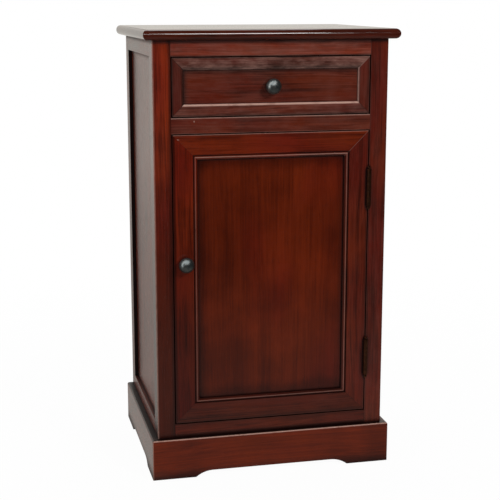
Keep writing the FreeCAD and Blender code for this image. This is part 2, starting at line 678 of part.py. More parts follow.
def bottom_board():
    """The cupboard floor: held in the rails' grooves and notched round the posts."""
    board = new_body("bottom_board", "0", "Layout.front", "Layout.board_top - Sizes.bottom_board_thick")
    wide = "(Layout.side - Sizes.wall_rail_thick + Layout.groove_fit)"
    slim = "(Layout.opening_half - Sizes.fit)"
    first = "Sizes.low_rail_depth - Layout.groove_fit"
    notch = "max(Sizes.post_depth; Sizes.low_rail_depth) + Sizes.fit"
    rear_notch = "Sizes.case_depth - Sizes.post_depth - Sizes.fit"
    last = "Sizes.case_depth - Sizes.wall_rail_thick + Layout.groove_fit"
    right = [(slim, first), (slim, notch), (wide, notch), (wide, rear_notch), (slim, rear_notch),
             (slim, last)]
    left = [("-" + x, y) for x, y in reversed(right)]
    add(board, "board", "XY", [right + left], "Sizes.bottom_board_thick")
    return keep(board)


def shelf_and_pins():
    """A loose shelf on four pins."""
    shelf = new_body("shelf", "0", "Layout.front + Sizes.door_thick + Sizes.shelf_gap",
                     "Layout.shelf_under")
    half = "(Layout.opening_half - Sizes.shelf_play)"
    depth = ("Sizes.case_depth - Sizes.door_thick - Sizes.wall_panel_recess"
             " - Sizes.back_panel_thick - 2 * Sizes.shelf_gap")
    add(shelf, "shelf_board", "XY", [rectangle(f"-{half}", "0", half, depth)], "Sizes.shelf_thick")
    keep(shelf)
    pin = new_body("shelf_pin")
    add(pin, "pin_length", "YZ", [("circle", "0", "0", "Sizes.shelf_pin_radius")],
        "Sizes.shelf_pin_depth + Sizes.shelf_pin_reach", at="-Sizes.shelf_pin_depth")
    z = "Layout.shelf_under - Sizes.shelf_pin_radius"
    spots = [(x, y, z, rotation)
             for x, rotation in (("-Layout.opening_half", UPRIGHT), ("Layout.opening_half", HALF_TURN))
             for y in ("Layout.pin_front", "Layout.pin_back")]
    keep(copies("shelf_pins", pin, spots))


def runner():
    """Left strip under the drawer side, with the lip that guides it."""
    strip = new_body("drawer_runner_left", "-Layout.opening_half", "Layout.web_back",
                     "Layout.drawer_floor")
    outer = "-(Layout.panel_inner - Layout.opening_half - Sizes.fit)"
    length = "Layout.post_back - Layout.web_back"
    section = [(outer, "-Sizes.runner_height"), ("Sizes.runner_reach", "-Sizes.runner_height"),
               ("Sizes.runner_reach", "0"), ("0", "0"), ("0", "Sizes.guide_height"),
               (outer, "Sizes.guide_height")]
    add(strip, "runner_length", "XZ", [section], length)
    foot = "Layout.runner_tenon - Layout.drawer_floor"
    tenons = (("front", "(Sizes.runner_reach - Sizes.strip_tenon_thick) / 2", "0", -1),
              ("back", "-Sizes.runner_tenon_inset - Sizes.strip_tenon_thick", length, 1))
    for name, x, at, toward in tenons:
        tenon = rectangle(x, foot, f"{x} + Sizes.strip_tenon_thick", f"{foot} + Sizes.strip_tenon_thick")
        add(strip, f"runner_{name}_tenon", "XZ", [tenon], "Sizes.strip_tenon_length", at, toward)
    keep(strip)
    keep(mirrored("drawer_runner_right", strip))


def kicker_blank():
    """Left strip over the drawer side, between the front and back rails."""
    end = "(Layout.back - Sizes.wall_rail_thick)"
    strip = new_body("drawer_kicker_left_blank", "-Layout.opening_half + Sizes.kicker_width / 2",
                     f"(Layout.web_back + {end}) / 2", "Layout.drawer_ceiling")
    half = "Sizes.kicker_width / 2"
    length = f"({end} - Layout.web_back)"
    add(strip, "kicker_length", "XZ", [rectangle(f"-{half}", "0", half, "Sizes.top_rail_height")],
        length, toward=0)
    side = "Sizes.strip_tenon_thick / 2"
    low = f"Sizes.top_rail_height / 2 - {side}"
    high = f"Sizes.top_rail_height / 2 + {side}"
    add(strip, "kicker_tenons", "XZ", [rectangle(f"-{side}", low, side, high)],
        f"{length} + 2 * Sizes.strip_tenon_length", toward=0)
    return strip


def closing_stops():
    """Two blocks behind the drawer front on the middle rail."""
    block = new_body("closing_stop")
    half = "Sizes.closing_stop_width / 2"
    add(block, "block", "XY", [rectangle(f"-{half}", "0", half, "Sizes.closing_stop_length")],
        "Sizes.closing_stop_height")
    spots = [(f"{side} * Sizes.closing_stop_spread / 2", "Layout.stop_front", "Layout.drawer_floor",
              UPRIGHT) for side in (-1, 1)]
    return keep(copies("closing_stops", block, spots))


def top_board_blank():
    """The top board, rounded above and below on its front and side edges."""
    wide = "Sizes.case_width + 2 * Sizes.top_side_overhang"
    deep = "Sizes.case_depth + Sizes.top_front_overhang + Sizes.top_back_overhang"
    lower_round = ("min(Sizes.top_lower_round;"
                   " Sizes.top_thick - Sizes.top_upper_round - Sizes.top_edge_flat)")
    board = new_body("top_board_blank", "-Layout.side - Sizes.top_side_overhang",
                     "Layout.front - Sizes.top_front_overhang", "Layout.case_top")
    add(board, "top_plank", "XY", [rectangle("0", "0", wide, deep)], "Sizes.top_thick")
    for name, height, radius in (("upper_round", "Sizes.top_thick", "Sizes.top_upper_round"),
                                 ("lower_round", "0", lower_round)):
        round_edges(board, name, radius, lambda edge: near(edge.CenterOfMass.z, height) and (
            near(edge.CenterOfMass.y, "0") or near(edge.CenterOfMass.x, "0")
            or near(edge.CenterOfMass.x, wide)))
    return board


# ---------------------------------------------------------------- plinth

def footed_board(name, spot, rotation, length, first_foot, last_foot, mitres):
    """A plinth board with its lower edge cut to two feet and its upper arris rounded."""
    board = new_body(name, *spot, "0", rotation)
    radius = "(Sizes.arch_run ^ 2 + Sizes.arch_rise ^ 2) / (2 * Sizes.arch_rise)"
    outline = [("0", "0"), (first_foot, "0", radius, -1),
               (f"{first_foot} + Sizes.arch_run", "Sizes.arch_rise"),
               (f"{length} - {last_foot} - Sizes.arch_run", "Sizes.arch_rise", radius, -1),
               (f"{length} - {last_foot}", "0"), (length, "0"),
               (length, "Sizes.plinth_height"), ("0", "Sizes.plinth_height")]
    add(board, name + "_board", "XZ", [outline], "Sizes.plinth_thick")
    round_edges(board, name + "_arris", "Sizes.plinth_arris", lambda edge: (
        near(edge.CenterOfMass.z, "Sizes.plinth_height") and near(edge.CenterOfMass.y, "0")))
    past = f"Sizes.plinth_thick + {SPARE}"
    corners = {"first": [(f"-{SPARE}", f"-{SPARE}"), (past, past), (f"-{SPARE}", past)],
               "last": [(f"{length} + {SPARE}", f"-{SPARE}"), (f"{length} + {SPARE}", past),
                        (f"{length} - ({past})", past)]}
    cut(board, name + "_mitre", "XY", [corners[end] for end in mitres])
    return keep(board)


def plinth():
    """Three footed boards, a plain back board and the blocks that the posts stand on."""
    reach = "(Layout.side + Sizes.plinth_overhang)"
    footed_board("plinth_front", (f"-{reach}", "Layout.front - Sizes.plinth_overhang"), UPRIGHT,
                 f"(2 * {reach})", "Sizes.front_foot", "Sizes.front_foot", ("first", "last"))
    side = footed_board("plinth_left", (f"-{reach}", "Layout.back"), ALONG_SIDE,
                        "(Sizes.case_depth + Sizes.plinth_overhang)", "Sizes.side_back_foot",
                        "Sizes.side_front_foot", ("last",))
    keep(mirrored("plinth_right", side))
    inner = f"({reach} - Sizes.plinth_thick)"
    back = new_body("plinth_back", "0", "Layout.back", "0")
    add(back, "back_board", "XZ", [rectangle(f"-{inner}", "0", inner, "Sizes.plinth_height")],
        "Sizes.plinth_thick", toward=-1)
    keep(back)
    blocks = []
    for x in (f"-{inner}", f"{inner} - Sizes.corner_block"):
        for y in ("Layout.front - Sizes.plinth_overhang + Sizes.plinth_thick",
                  "Layout.back - Sizes.plinth_thick - Sizes.corner_block"):
            block = DOC.addObject("Part::Box", "plinth_block")
            block.setExpression("Length", "Sizes.corner_block")
            block.setExpression("Width", "Sizes.corner_block")
            block.setExpression("Height", "Sizes.corner_block_height")
            place(block, x, y, "Sizes.plinth_height - Sizes.corner_block_height")
            blocks.append(block)
    keep(group("plinth_blocks", blocks))


# ---------------------------------------------------------------- mitred frames

def mitred_member(name, profile, width, length, spot, rotation):
    """A moulded bar with both ends mitred; its outer edge runs along its own X axis."""
    bar = new_body(name, *spot, rotation)
    add(bar, name + "_bar", "YZ", [profile], length)
    past = f"({width} + {SPARE})"
    first = [(f"-{SPARE}", f"-{SPARE}"), (past, past), (f"-{SPARE}", past)]
    last = [(f"{length} + {SPARE}", f"-{SPARE}"), (f"{length} + {SPARE}", past),
            (f"{length} - {past}", past)]
    cut(bar, name + "_mitres", "XZ", [first, last])
    return bar


def mitred_frame(names, profile, width, half, low, high):
    """Bottom, right, top and left members of a frame, each turned a quarter from the last."""
    wide, tall = f"(2 * {half})", f"({high} - {low})"
    spots = [(wide, f"-{half}", low, UPRIGHT), (tall, half, low, TO_LEFT),
             (wide, half, high, UPSIDE_DOWN), (tall, f"-{half}", high, TO_RIGHT)]
    return [mitred_member(name, profile, width, length, (x, "Layout.front", z), rotation)
            for name, (length, x, z, rotation) in zip(names, spots)]


def door_profile():
    """Section of the door frame: flat, quirk, bead and panel groove."""
    bead = "Sizes.bead_width / 2"
    radius = f"(({bead}) ^ 2 + Sizes.bead_rise ^ 2) / (2 * Sizes.bead_rise)"
    member = "Layout.door_member"
    groove = ("Sizes.door_panel_recess - Sizes.fit",
              "Sizes.door_panel_recess + Sizes.door_panel_thick + Sizes.fit")
    bed = f"{member} - Sizes.door_panel_groove"
    return [("0", "0"), ("0", "Sizes.door_flat"), ("Sizes.quirk_depth", "Sizes.door_flat"),
            ("Sizes.quirk_depth", "Sizes.door_flat + Sizes.quirk_width", radius, -1),
            ("Sizes.quirk_depth", member), (groove[0], member), (groove[0], bed),
            (groove[1], bed), (groove[1], member), ("Sizes.door_thick", member),
            ("Sizes.door_thick", "0")]


def door_frame():
    """The four members of the door frame, and the flat panel in their grooves."""
    names = ("door_rail_bottom", "door_stile_right_blank", "door_rail_top_blank",
             "door_stile_left_blank")
    members = mitred_frame(names, door_profile(), "Layout.door_member", "Layout.door_half",
                           "Layout.door_bottom", "Layout.door_top")
    panel = new_body("door_panel", "0", "Layout.front + Sizes.door_panel_recess", "Layout.door_bottom")
    margin = "(Layout.door_member - Sizes.door_panel_groove + Sizes.fit)"
    half = f"(Layout.door_half - {margin})"
    add(panel, "door_sheet", "XZ",
        [rectangle(f"-{half}", margin, half, f"Layout.door_top - Layout.door_bottom - {margin}")],
        "Sizes.door_panel_thick")
    keep(panel)
    return members


def drawer_profile():
    """Section of the drawer's frame: flat, sloped inner edge and a rebate for the panel."""
    member = "Layout.drawer_member"
    return [("0", "0"), ("0", "Sizes.drawer_flat"), ("Sizes.drawer_slope_depth", member),
            ("Sizes.drawer_lip_thick", member),
            ("Sizes.drawer_lip_thick", f"{member} - Sizes.drawer_rebate"),
            ("Sizes.drawer_frame_thick", f"{member} - Sizes.drawer_rebate"),
            ("Sizes.drawer_frame_thick", "0")]


def drawer_frame():
    """The mitred frame of the drawer front, and the blank of the panel behind it."""
    names = ("drawer_frame_bottom", "drawer_frame_right", "drawer_frame_top", "drawer_frame_left")
    low = "(Layout.drawer_floor + Sizes.drawer_gap)"
    high = "(Layout.drawer_ceiling - Sizes.drawer_gap)"
    for member in mitred_frame(names, drawer_profile(), "Layout.drawer_member",
                               "Layout.drawer_half", low, high):
        keep(member)
    panel = new_body("drawer_front_panel_blank", "0", "Layout.front + Sizes.drawer_lip_thick", low)
    margin = "(Layout.drawer_member - Sizes.drawer_rebate + Sizes.fit)"
    half = f"(Layout.drawer_half - {margin})"
    add(panel, "drawer_field", "XZ", [rectangle(f"-{half}", margin, half, f"{high} - {low} - {margin}")],
        "Sizes.drawer_frame_thick - Sizes.drawer_lip_thick")
    return panel


# ---------------------------------------------------------------- drawer box

def tail_sizes():
    """Middle heights of the dovetails, and half their width at the tip and per length."""
    count = int(value("Sizes.tail_count"))
    middles = [f"Layout.box_height * {2 * tail + 1} / {2 * count}" for tail in range(count)]
    tip = f"(Layout.box_height / {count} - Sizes.tail_spacing) / 2"
    return middles, tip


def drawer_side():
    """Left side of the drawer: dovetailed at the front, rebated at the back, grooved below."""
    side = new_body("drawer_side_left", "-Layout.box_half", "Layout.box_front", "Layout.box_floor")
    shoulder = "Sizes.box_front_thick"
    tips = "Sizes.box_front_thick - Sizes.tail_length"
    middles, tip = tail_sizes()
    root = f"({tip} - Sizes.tail_slope * Sizes.tail_length)"
    outline = [("Layout.box_depth", "0"), ("Layout.box_depth", "Layout.box_height"),
               (shoulder, "Layout.box_height")]
    for middle in reversed(middles):
        outline += [(shoulder, f"{middle} + {root}"), (tips, f"{middle} + {tip}"),
                    (tips, f"{middle} - {tip}"), (shoulder, f"{middle} - {root}")]
    outline.append((shoulder, "0"))
    add(side, "side_board", "YZ", [outline], "Sizes.box_side_thick")
    groove = rectangle(tips + f" - {SPARE}", "Sizes.box_bottom_lift", f"Layout.box_depth + {SPARE}",
                       "Sizes.box_bottom_lift + Sizes.box_bottom_thick + 2 * Sizes.fit")
    cut(side, "bottom_groove", "YZ", [groove], "Sizes.box_groove", "Sizes.box_side_thick", -1)
    rebate = rectangle("Layout.box_depth - Sizes.box_back_thick", f"-{SPARE}",
                       f"Layout.box_depth + {SPARE}", f"Layout.box_height + {SPARE}")
    cut(side, "back_rebate", "YZ", [rebate], "Sizes.box_rebate", "Sizes.box_side_thick", -1)
    keep(side)
    keep(mirrored("drawer_side_right", side))


def box_front_blank():
    """Front of the drawer box, with sockets for the dovetails and a groove for the bottom."""
    width = "(2 * Layout.box_half)"
    front = new_body("drawer_box_front_blank", "-Layout.box_half", "Layout.box_front",
                     "Layout.box_floor")
    add(front, "front_board", "XZ", [rectangle("0", "0", width, "Layout.box_height")],
        "Sizes.box_front_thick")
    middles, tip = tail_sizes()
    far = "Sizes.box_front_thick - Sizes.tail_length - Sizes.fit"
    mouth = f"Sizes.box_front_thick + {SPARE}"
    wide = f"({tip} + Sizes.fit)"
    slim = f"({wide} - Sizes.tail_slope * (Sizes.tail_length + Sizes.fit + {SPARE}))"
    sockets = [[(mouth, f"{middle} + {slim}"), (far, f"{middle} + {wide}"),
                (far, f"{middle} - {wide}"), (mouth, f"{middle} - {slim}")] for middle in middles]
    depth = "Sizes.box_side_thick + Sizes.fit"
    cut(front, "left_sockets", "YZ", sockets, depth, "0", 1)
    cut(front, "right_sockets", "YZ", sockets, depth, width, -1)
    end = "(Sizes.box_side_thick - Sizes.box_groove)"
    groove = rectangle(end, "Sizes.box_bottom_lift", f"{width} - {end}",
                       "Sizes.box_bottom_lift + Sizes.box_bottom_thick + 2 * Sizes.fit")
    cut(front, "front_groove", "XZ", [groove], "Sizes.box_groove", "Sizes.box_front_thick", -1)
    return front


def box_back_blank():
    """Back of the drawer box, let into the sides and standing on the bottom."""
    back = new_body("drawer_back_blank", "0", "Layout.box_back", "Layout.box_floor")
    half = "(Layout.box_half - Sizes.box_side_thick + Sizes.box_rebate)"
    foot = "Sizes.box_bottom_lift + Sizes.box_bottom_thick + 2 * Sizes.fit"
    add(back, "back_board", "XZ",
        [rectangle(f"-{half}", foot, half, "Layout.box_height - Sizes.box_back_drop")],
        "Sizes.box_back_thick", toward=-1)
    return back


def box_bottom():
    """Bottom of the drawer box, in the grooves of the sides and the front."""
    bottom = new_body("drawer_bottom", "0", "Layout.box_front", "Layout.box_floor")
    half = "(Layout.box_half - Sizes.box_side_thick + Sizes.box_groove - Sizes.fit)"
    add(bottom, "bottom_sheet", "XY",
        [rectangle(f"-{half}", "Sizes.box_front_thick - Sizes.box_groove + Sizes.fit", half,
                   "Layout.box_depth")],
        "Sizes.box_bottom_thick", at="Sizes.box_bottom_lift + Sizes.fit")
    return keep(bottom)


def turn_button():
    """The button behind the drawer that meets the top rail when the drawer is pulled out."""
    button = new_body("stop_button", "0", "Layout.box_back + Sizes.button_gap", "Layout.button_z")
    half = "Sizes.button_width / 2"
    outline = [(half, "0"), (half, "Sizes.button_reach"), (f"-{half}", "Sizes.button_reach"),
               (f"-{half}", "0", half, 1), ("0", f"-{half}", half, 1)]
    add(button, "button_plate", "XZ", [outline], "Sizes.button_thick")
    cut(button, "button_bore", "XZ",
        [("circle", "0", "0", "Sizes.button_screw_radius + Sizes.hole_clearance")])
    return keep(button)


# ---------------------------------------------------------------- knobs

def knob(name, x, y, z):
    """A mushroom knob on its foot, turned about the axis that points to the front."""
    body = new_body(name, x, y, z)
    foot = ("Sizes.knob_base_radius", "-Sizes.knob_base_thick")
    neck = ("Sizes.knob_neck_radius", "-Sizes.knob_neck_end")
    rim = ("Sizes.knob_radius", "-Sizes.knob_rim")
    hollow = f"{BEND} * sqrt(({foot[0]} - {neck[0]}) ^ 2 + ({foot[1]} - {neck[1]}) ^ 2)"
    swell = f"{BEND} * sqrt(({rim[0]} - {neck[0]}) ^ 2 + ({rim[1]} - {neck[1]}) ^ 2)"
    rise = "(Sizes.knob_projection - Sizes.knob_rim)"
    dome = f"(Sizes.knob_radius ^ 2 + {rise} ^ 2) / (2 * {rise})"
    outline = [("0", "0"), (foot[0], "0"), (*foot, hollow, 1), (*neck, swell, -1),
               (*rim, dome, -1), ("0", "-Sizes.knob_projection")]
    turn_round(body, name + "_turned", "XY", outline)
    cut(body, name + "_thread", "XZ",
        [("circle", "0", "0", "Sizes.knob_screw_radius + Sizes.hole_clearance")],
        "Sizes.knob_screw_bite + Sizes.hole_clearance", "0", -1)
    return keep(body)


def knob_screw(name, x, y, z, wood):
    """The screw of a knob, from behind through wood of this thickness, and its hole."""
    length = f"({wood} + Sizes.knob_screw_bite)"
    screw = machine_screw(name, "Sizes.knob_head_radius", "Sizes.knob_head_depth",
                          "Sizes.knob_screw_radius", length)
    place(screw, x, y, z, TO_FRONT)
    keep(screw)
    hole = round_hole(name + "_hole", "Sizes.knob_screw_radius", length)
    place(hole, x, y, z, TO_FRONT)
    return hole


# ---------------------------------------------------------------- hinges

def hinge_leaf(name, sign, first_gap):
    """The lower hinge's leaf on one side of the pin; every second knuckle is the other leaf's."""
    leaf = new_body(name, "Layout.pin_x", "Layout.pin_y", "Layout.hinge_low")
    bore = "(Sizes.hinge_pin_radius + Sizes.hole_clearance)"
    inner = f"{sign} * Sizes.door_gap / 2"
    outer = f"{sign} * (Sizes.door_gap / 2 + Sizes.leaf_thick)"
    add(leaf, name + "_plate", "XY", [rectangle(inner, bore, outer, "Sizes.leaf_width")],
        "Sizes.hinge_length")
    add(leaf, name + "_barrel", "XY", [("circle", "0", "0", "Sizes.knuckle_radius")],
        "Sizes.hinge_length")
    cut(leaf, name + "_bore", "XY", [("circle", "0", "0", bore)])
    count = int(value("Sizes.knuckle_count"))
    knuckle = f"Sizes.hinge_length / {count}"
    half_gap = "Sizes.knuckle_gap / 2"
    clear = "Sizes.knuckle_radius + Sizes.knuckle_gap"
    slots = [rectangle(f"-({clear})", f"{step} * {knuckle} - {half_gap}", clear,
                       f"{step + 1} * {knuckle} + {half_gap}")
             for step in range(first_gap, count, 2)]
    cut(leaf, name + "_gaps", "YZ", slots)
    return leaf


def hinge_pin():
    """A hinge pin with a ball on each end."""
    pin = new_body("hinge_pin", "Layout.pin_x", "Layout.pin_y", "Layout.hinge_low")
    lift = "sqrt(Sizes.finial_radius ^ 2 - Sizes.hinge_pin_radius ^ 2)"
    tip = f"(Sizes.finial_neck + {lift} + Sizes.finial_radius)"
    outline = [("0", f"-{tip}", "Sizes.finial_radius", 1),
               ("Sizes.hinge_pin_radius", "-Sizes.finial_neck"),
               ("Sizes.hinge_pin_radius", "Sizes.hinge_length + Sizes.finial_neck",
                "Sizes.finial_radius", 1),
               ("0", f"Sizes.hinge_length + {tip}")]
    turn_round(pin, "pin_turned", "XZ", outline)
    return pin


def both_hinges(name, lower):
    """The lower hinge's piece and the upper one's, the same seen in a level mirror."""
    upper = mirrored(name + "_upper", lower, (0, 0, 1), "Layout.opening_middle")
    return group(name, [lower, upper])


def hinge_recess():
    """The tool that lets the leaves of the lower hinge into door and post."""
    tool = DOC.addObject("Part::Box", "hinge_recess_lower")
    tool.setExpression("Length", "Sizes.door_gap + 2 * Sizes.leaf_thick")
    tool.setExpression("Width", "Sizes.leaf_width")
    tool.setExpression("Height", "Sizes.hinge_length")
    place(tool, "Layout.pin_x - Sizes.door_gap / 2 - Sizes.leaf_thick", "Layout.pin_y",
          "Layout.hinge_low")
    return both_hinges("hinge_recesses", tool)


def hinge_screw_spots(x, rotation):
    """Three screws for each of the two leaves on one side."""
    lower = "Layout.low_rail_top + Sizes.hinge_inset"
    upper = "Layout.door_ceiling - Sizes.hinge_inset"
    y = "Layout.pin_y + Sizes.hinge_screw_setback"
    return [(x, y, f"{middle} + {step} * Sizes.hinge_screw_pitch", rotation)
            for middle in (lower, upper) for step in (-1, 0, 1)]


# ---------------------------------------------------------------- catch

def catch_blank():
    """The magnetic catch behind the top of the door: a foot and a housing."""
    catch = new_body("magnetic_catch_blank", "Layout.catch_x", "Layout.catch_front",
                     "Layout.door_ceiling")
    for name, width, height in (("foot", "Sizes.catch_width", "Sizes.catch_foot_thick"),
                                ("housing", "Sizes.catch_box_width", "Sizes.catch_box_height")):
        add(catch, "catch_" + name, "XY",
            [rectangle(f"-{width} / 2", "0", f"{width} / 2", "Sizes.catch_depth")], height, toward=-1)
    return catch


def strike_blank():
    """The steel plate on the back of the door that the magnet holds."""
    strike = new_body("catch_strike_blank", "Layout.catch_x", "Layout.front + Sizes.door_thick",
                      "Layout.door_top - Sizes.strike_drop")
    half = "Sizes.strike_width / 2"
    add(strike, "plate", "XZ", [rectangle(f"-{half}", "-Sizes.strike_height", half, "0")],
        "Sizes.strike_thick")
    return strike


# ---------------------------------------------------------------- assembly

def build_case():
    """Posts, rails, panels and boards that carry no screws."""
    left_front = front_post()
    left_back = back_post()
    keep(mirrored("post_back_right", left_back))
    right_front = mirrored("post_front_right_blank", left_front)
    low_rail()
    top_rail, middle_rail = web_rails()
    keep(top_rail)
    walls()
    bottom_board()
    shelf_and_pins()
    runner()
    closing_stops()
    plinth()
    return right_front, middle_rail


def build_top():
    """The top board and the kickers that it is screwed to."""
    screw = wood_screw("top_screw", "top")
    tool = wood_screw("top_screw_tool", "top", "Sizes.hole_clearance")
    spots = [(f"{side} * (Layout.opening_half - Sizes.kicker_width / 2)", y, "Layout.drawer_ceiling",
              UPRIGHT) for side in (-1, 1)
             for y in ("Layout.web_back + Sizes.top_screw_inset",
                       "Layout.back - Sizes.wall_rail_thick - Sizes.top_screw_inset")]
    keep(copies("top_screws", screw, spots))
    holes = copies("top_screw_holes", tool, spots)
    kicker = drilled("drawer_kicker_left", kicker_blank(), holes)
    keep(mirrored("drawer_kicker_right", kicker))
    drilled("top_board", top_board_blank(), holes)


def build_door(right_post, middle_rail):
    """The door, its hinges, catch and knob, and the pieces of the case that they cut."""
    screw = wood_screw("small_screw", "hinge")
    tool = wood_screw("small_screw_tool", "hinge", "Sizes.hole_clearance")
    case_spots = hinge_screw_spots("Layout.opening_half", TO_RIGHT)
    door_spots = hinge_screw_spots("Layout.door_half", TO_LEFT)
    ear = "(Sizes.catch_width + Sizes.catch_box_width) / 4"
    catch_spots = [(f"Layout.catch_x + {side} * {ear}", "Layout.catch_front + Sizes.catch_depth / 2",
                    "Layout.door_ceiling - Sizes.catch_foot_thick", UPRIGHT) for side in (-1, 1)]
    strike_spot = ("Layout.catch_x", "Layout.strike_back",
                   "Layout.door_top - Sizes.strike_drop - Sizes.strike_height / 2", TO_FRONT)
    keep(copies("case_screws", screw, case_spots + catch_spots))
    keep(copies("door_screws", screw, door_spots + [strike_spot]))
    case_holes = copies("case_leaf_holes", tool, case_spots)
    door_holes = copies("door_leaf_holes", tool, door_spots)
    catch_holes = copies("catch_holes", tool, catch_spots)
    strike_hole = copies("strike_hole", tool, [strike_spot])

    recesses = hinge_recess()
    case_leaf = hinge_leaf("case_leaf_lower", 1, 1)
    door_leaf = hinge_leaf("door_leaf_lower", -1, 0)
    drilled("hinge_leaves_case", both_hinges("case_leaves_blank", case_leaf), case_holes)
    drilled("hinge_leaves_door", both_hinges("door_leaves_blank", door_leaf), door_holes)
    keep(both_hinges("hinge_pins", hinge_pin()))
    drilled("post_front_right", right_post, recesses, case_holes)

    drilled("magnetic_catch", catch_blank(), catch_holes)
    drilled("front_rail_middle", middle_rail, catch_holes)
    drilled("catch_strike", strike_blank(), strike_hole)

    bottom, right, top, left = door_frame()
    keep(bottom)
    drilled("door_stile_right", right, recesses, door_holes)
    drilled("door_rail_top", top, strike_hole)
    x = "-Layout.door_half + Sizes.door_knob_inset"
    z = "Layout.opening_middle + Sizes.door_knob_rise"
    knob("door_knob", x, "Layout.front", z)
    hole = knob_screw("door_knob_screw", x, "Layout.front + Sizes.door_thick", z, "Sizes.door_thick")
    drilled("door_stile_left", left, hole)


def build_drawer():
    """The drawer box, its framed front, knob and turn button."""
    panel = drawer_frame()
    drawer_side()
    box_bottom()
    turn_button()
    knob("drawer_knob", "0", "Layout.front + Sizes.drawer_lip_thick", "Layout.drawer_middle")
    wood = "(Sizes.box_front_thick + Sizes.drawer_frame_thick - Sizes.drawer_lip_thick)"
    hole = knob_screw("drawer_knob_screw", "0", "Layout.box_front + Sizes.box_front_thick",
                      "Layout.drawer_middle", wood)
    drilled("drawer_front_panel", panel, hole)
    drilled("drawer_box_front", box_front_blank(), hole)
    pivot = machine_screw("button_screw", "Sizes.button_head_radius", "Sizes.button_head_depth",
                          "Sizes.button_screw_radius", "Sizes.button_screw_length")
    spot = ("0", "Layout.box_back + 2 * Sizes.button_gap + Sizes.button_thick", "Layout.button_z",
            TO_FRONT)
    place(pivot, *spot)
    keep(pivot)
    pivot_hole = round_hole("button_screw_hole", "Sizes.button_screw_radius",
                            "Sizes.button_screw_length")
    place(pivot_hole, *spot)
    drilled("drawer_back", box_back_blank(), pivot_hole)


def check_objects():
    """Stop if any object failed or any finished piece is not sound."""
    for item in DOC.Objects:
        if {"Invalid", "Error"} & set(item.State):
            raise RuntimeError(f"{item.Name}: {item.State}")
    for node in NODES:
        if node.Shape.isNull() or not node.Shape.isValid() or not node.Shape.Solids:
            raise RuntimeError(f"{node.Label}: not a sound solid")


def write_parts():
    """One STEP file for each finished piece."""
    os.makedirs("parts", exist_ok=True)
    for node in NODES:
        node.Shape.exportStep(f"parts/{node.Label}.step")


SHEET = fill_sheets()
build_top()
build_door(*build_case())
build_drawer()
DOC.recompute()
check_objects()
write_parts()
print(f"{len(NODES)} pieces, {sum(len(node.Shape.Solids) for node in NODES)} solids")
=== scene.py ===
"""Looks of the side table: wood, metal and plastic materials, rounded arrises, floor, light, camera.

Metres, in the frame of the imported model: X right, Y back, Z up, the front faces -Y.
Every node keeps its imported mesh. Colours are written as 0-255 screen values by screen().
"""

import json
import math

import bpy
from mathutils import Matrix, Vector


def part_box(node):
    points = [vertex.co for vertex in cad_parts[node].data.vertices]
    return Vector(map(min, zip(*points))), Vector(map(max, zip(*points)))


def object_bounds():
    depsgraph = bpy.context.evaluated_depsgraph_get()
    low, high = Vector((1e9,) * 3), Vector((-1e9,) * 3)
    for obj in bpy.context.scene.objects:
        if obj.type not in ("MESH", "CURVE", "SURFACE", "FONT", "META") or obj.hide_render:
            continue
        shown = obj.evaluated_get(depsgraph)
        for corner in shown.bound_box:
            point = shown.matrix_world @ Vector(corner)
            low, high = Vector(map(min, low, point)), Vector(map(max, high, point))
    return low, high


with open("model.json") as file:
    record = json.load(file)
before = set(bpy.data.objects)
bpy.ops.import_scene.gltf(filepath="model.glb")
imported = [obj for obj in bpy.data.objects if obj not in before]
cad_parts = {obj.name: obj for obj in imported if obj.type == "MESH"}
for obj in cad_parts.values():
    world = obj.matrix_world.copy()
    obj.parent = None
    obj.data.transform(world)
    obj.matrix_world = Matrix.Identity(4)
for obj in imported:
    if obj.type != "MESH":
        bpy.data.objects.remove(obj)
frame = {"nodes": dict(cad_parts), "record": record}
cad_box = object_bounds()
scene = bpy.context.scene


# ---------------------------------------------------------------- node helpers

Y_AXIS, Z_AXIS = 1, 2
SEED_SHIFT = (3.1, 1.7, 2.3)    # how far one seed moves a pattern from the next, in metres


def screen(red, green, blue):
    """A colour as it looks on screen, 0 to 255 a channel, in the linear values of a socket."""
    def linear(part):
        part = part / 255
        return part / 12.92 if part <= 0.04045 else ((part + 0.055) / 1.055) ** 2.4
    return (linear(red), linear(green), linear(blue), 1.0)


def scaled(colour, factor):
    """The colour made lighter or darker by a factor, still opaque."""
    return tuple(part * factor for part in colour[:3]) + (1.0,)


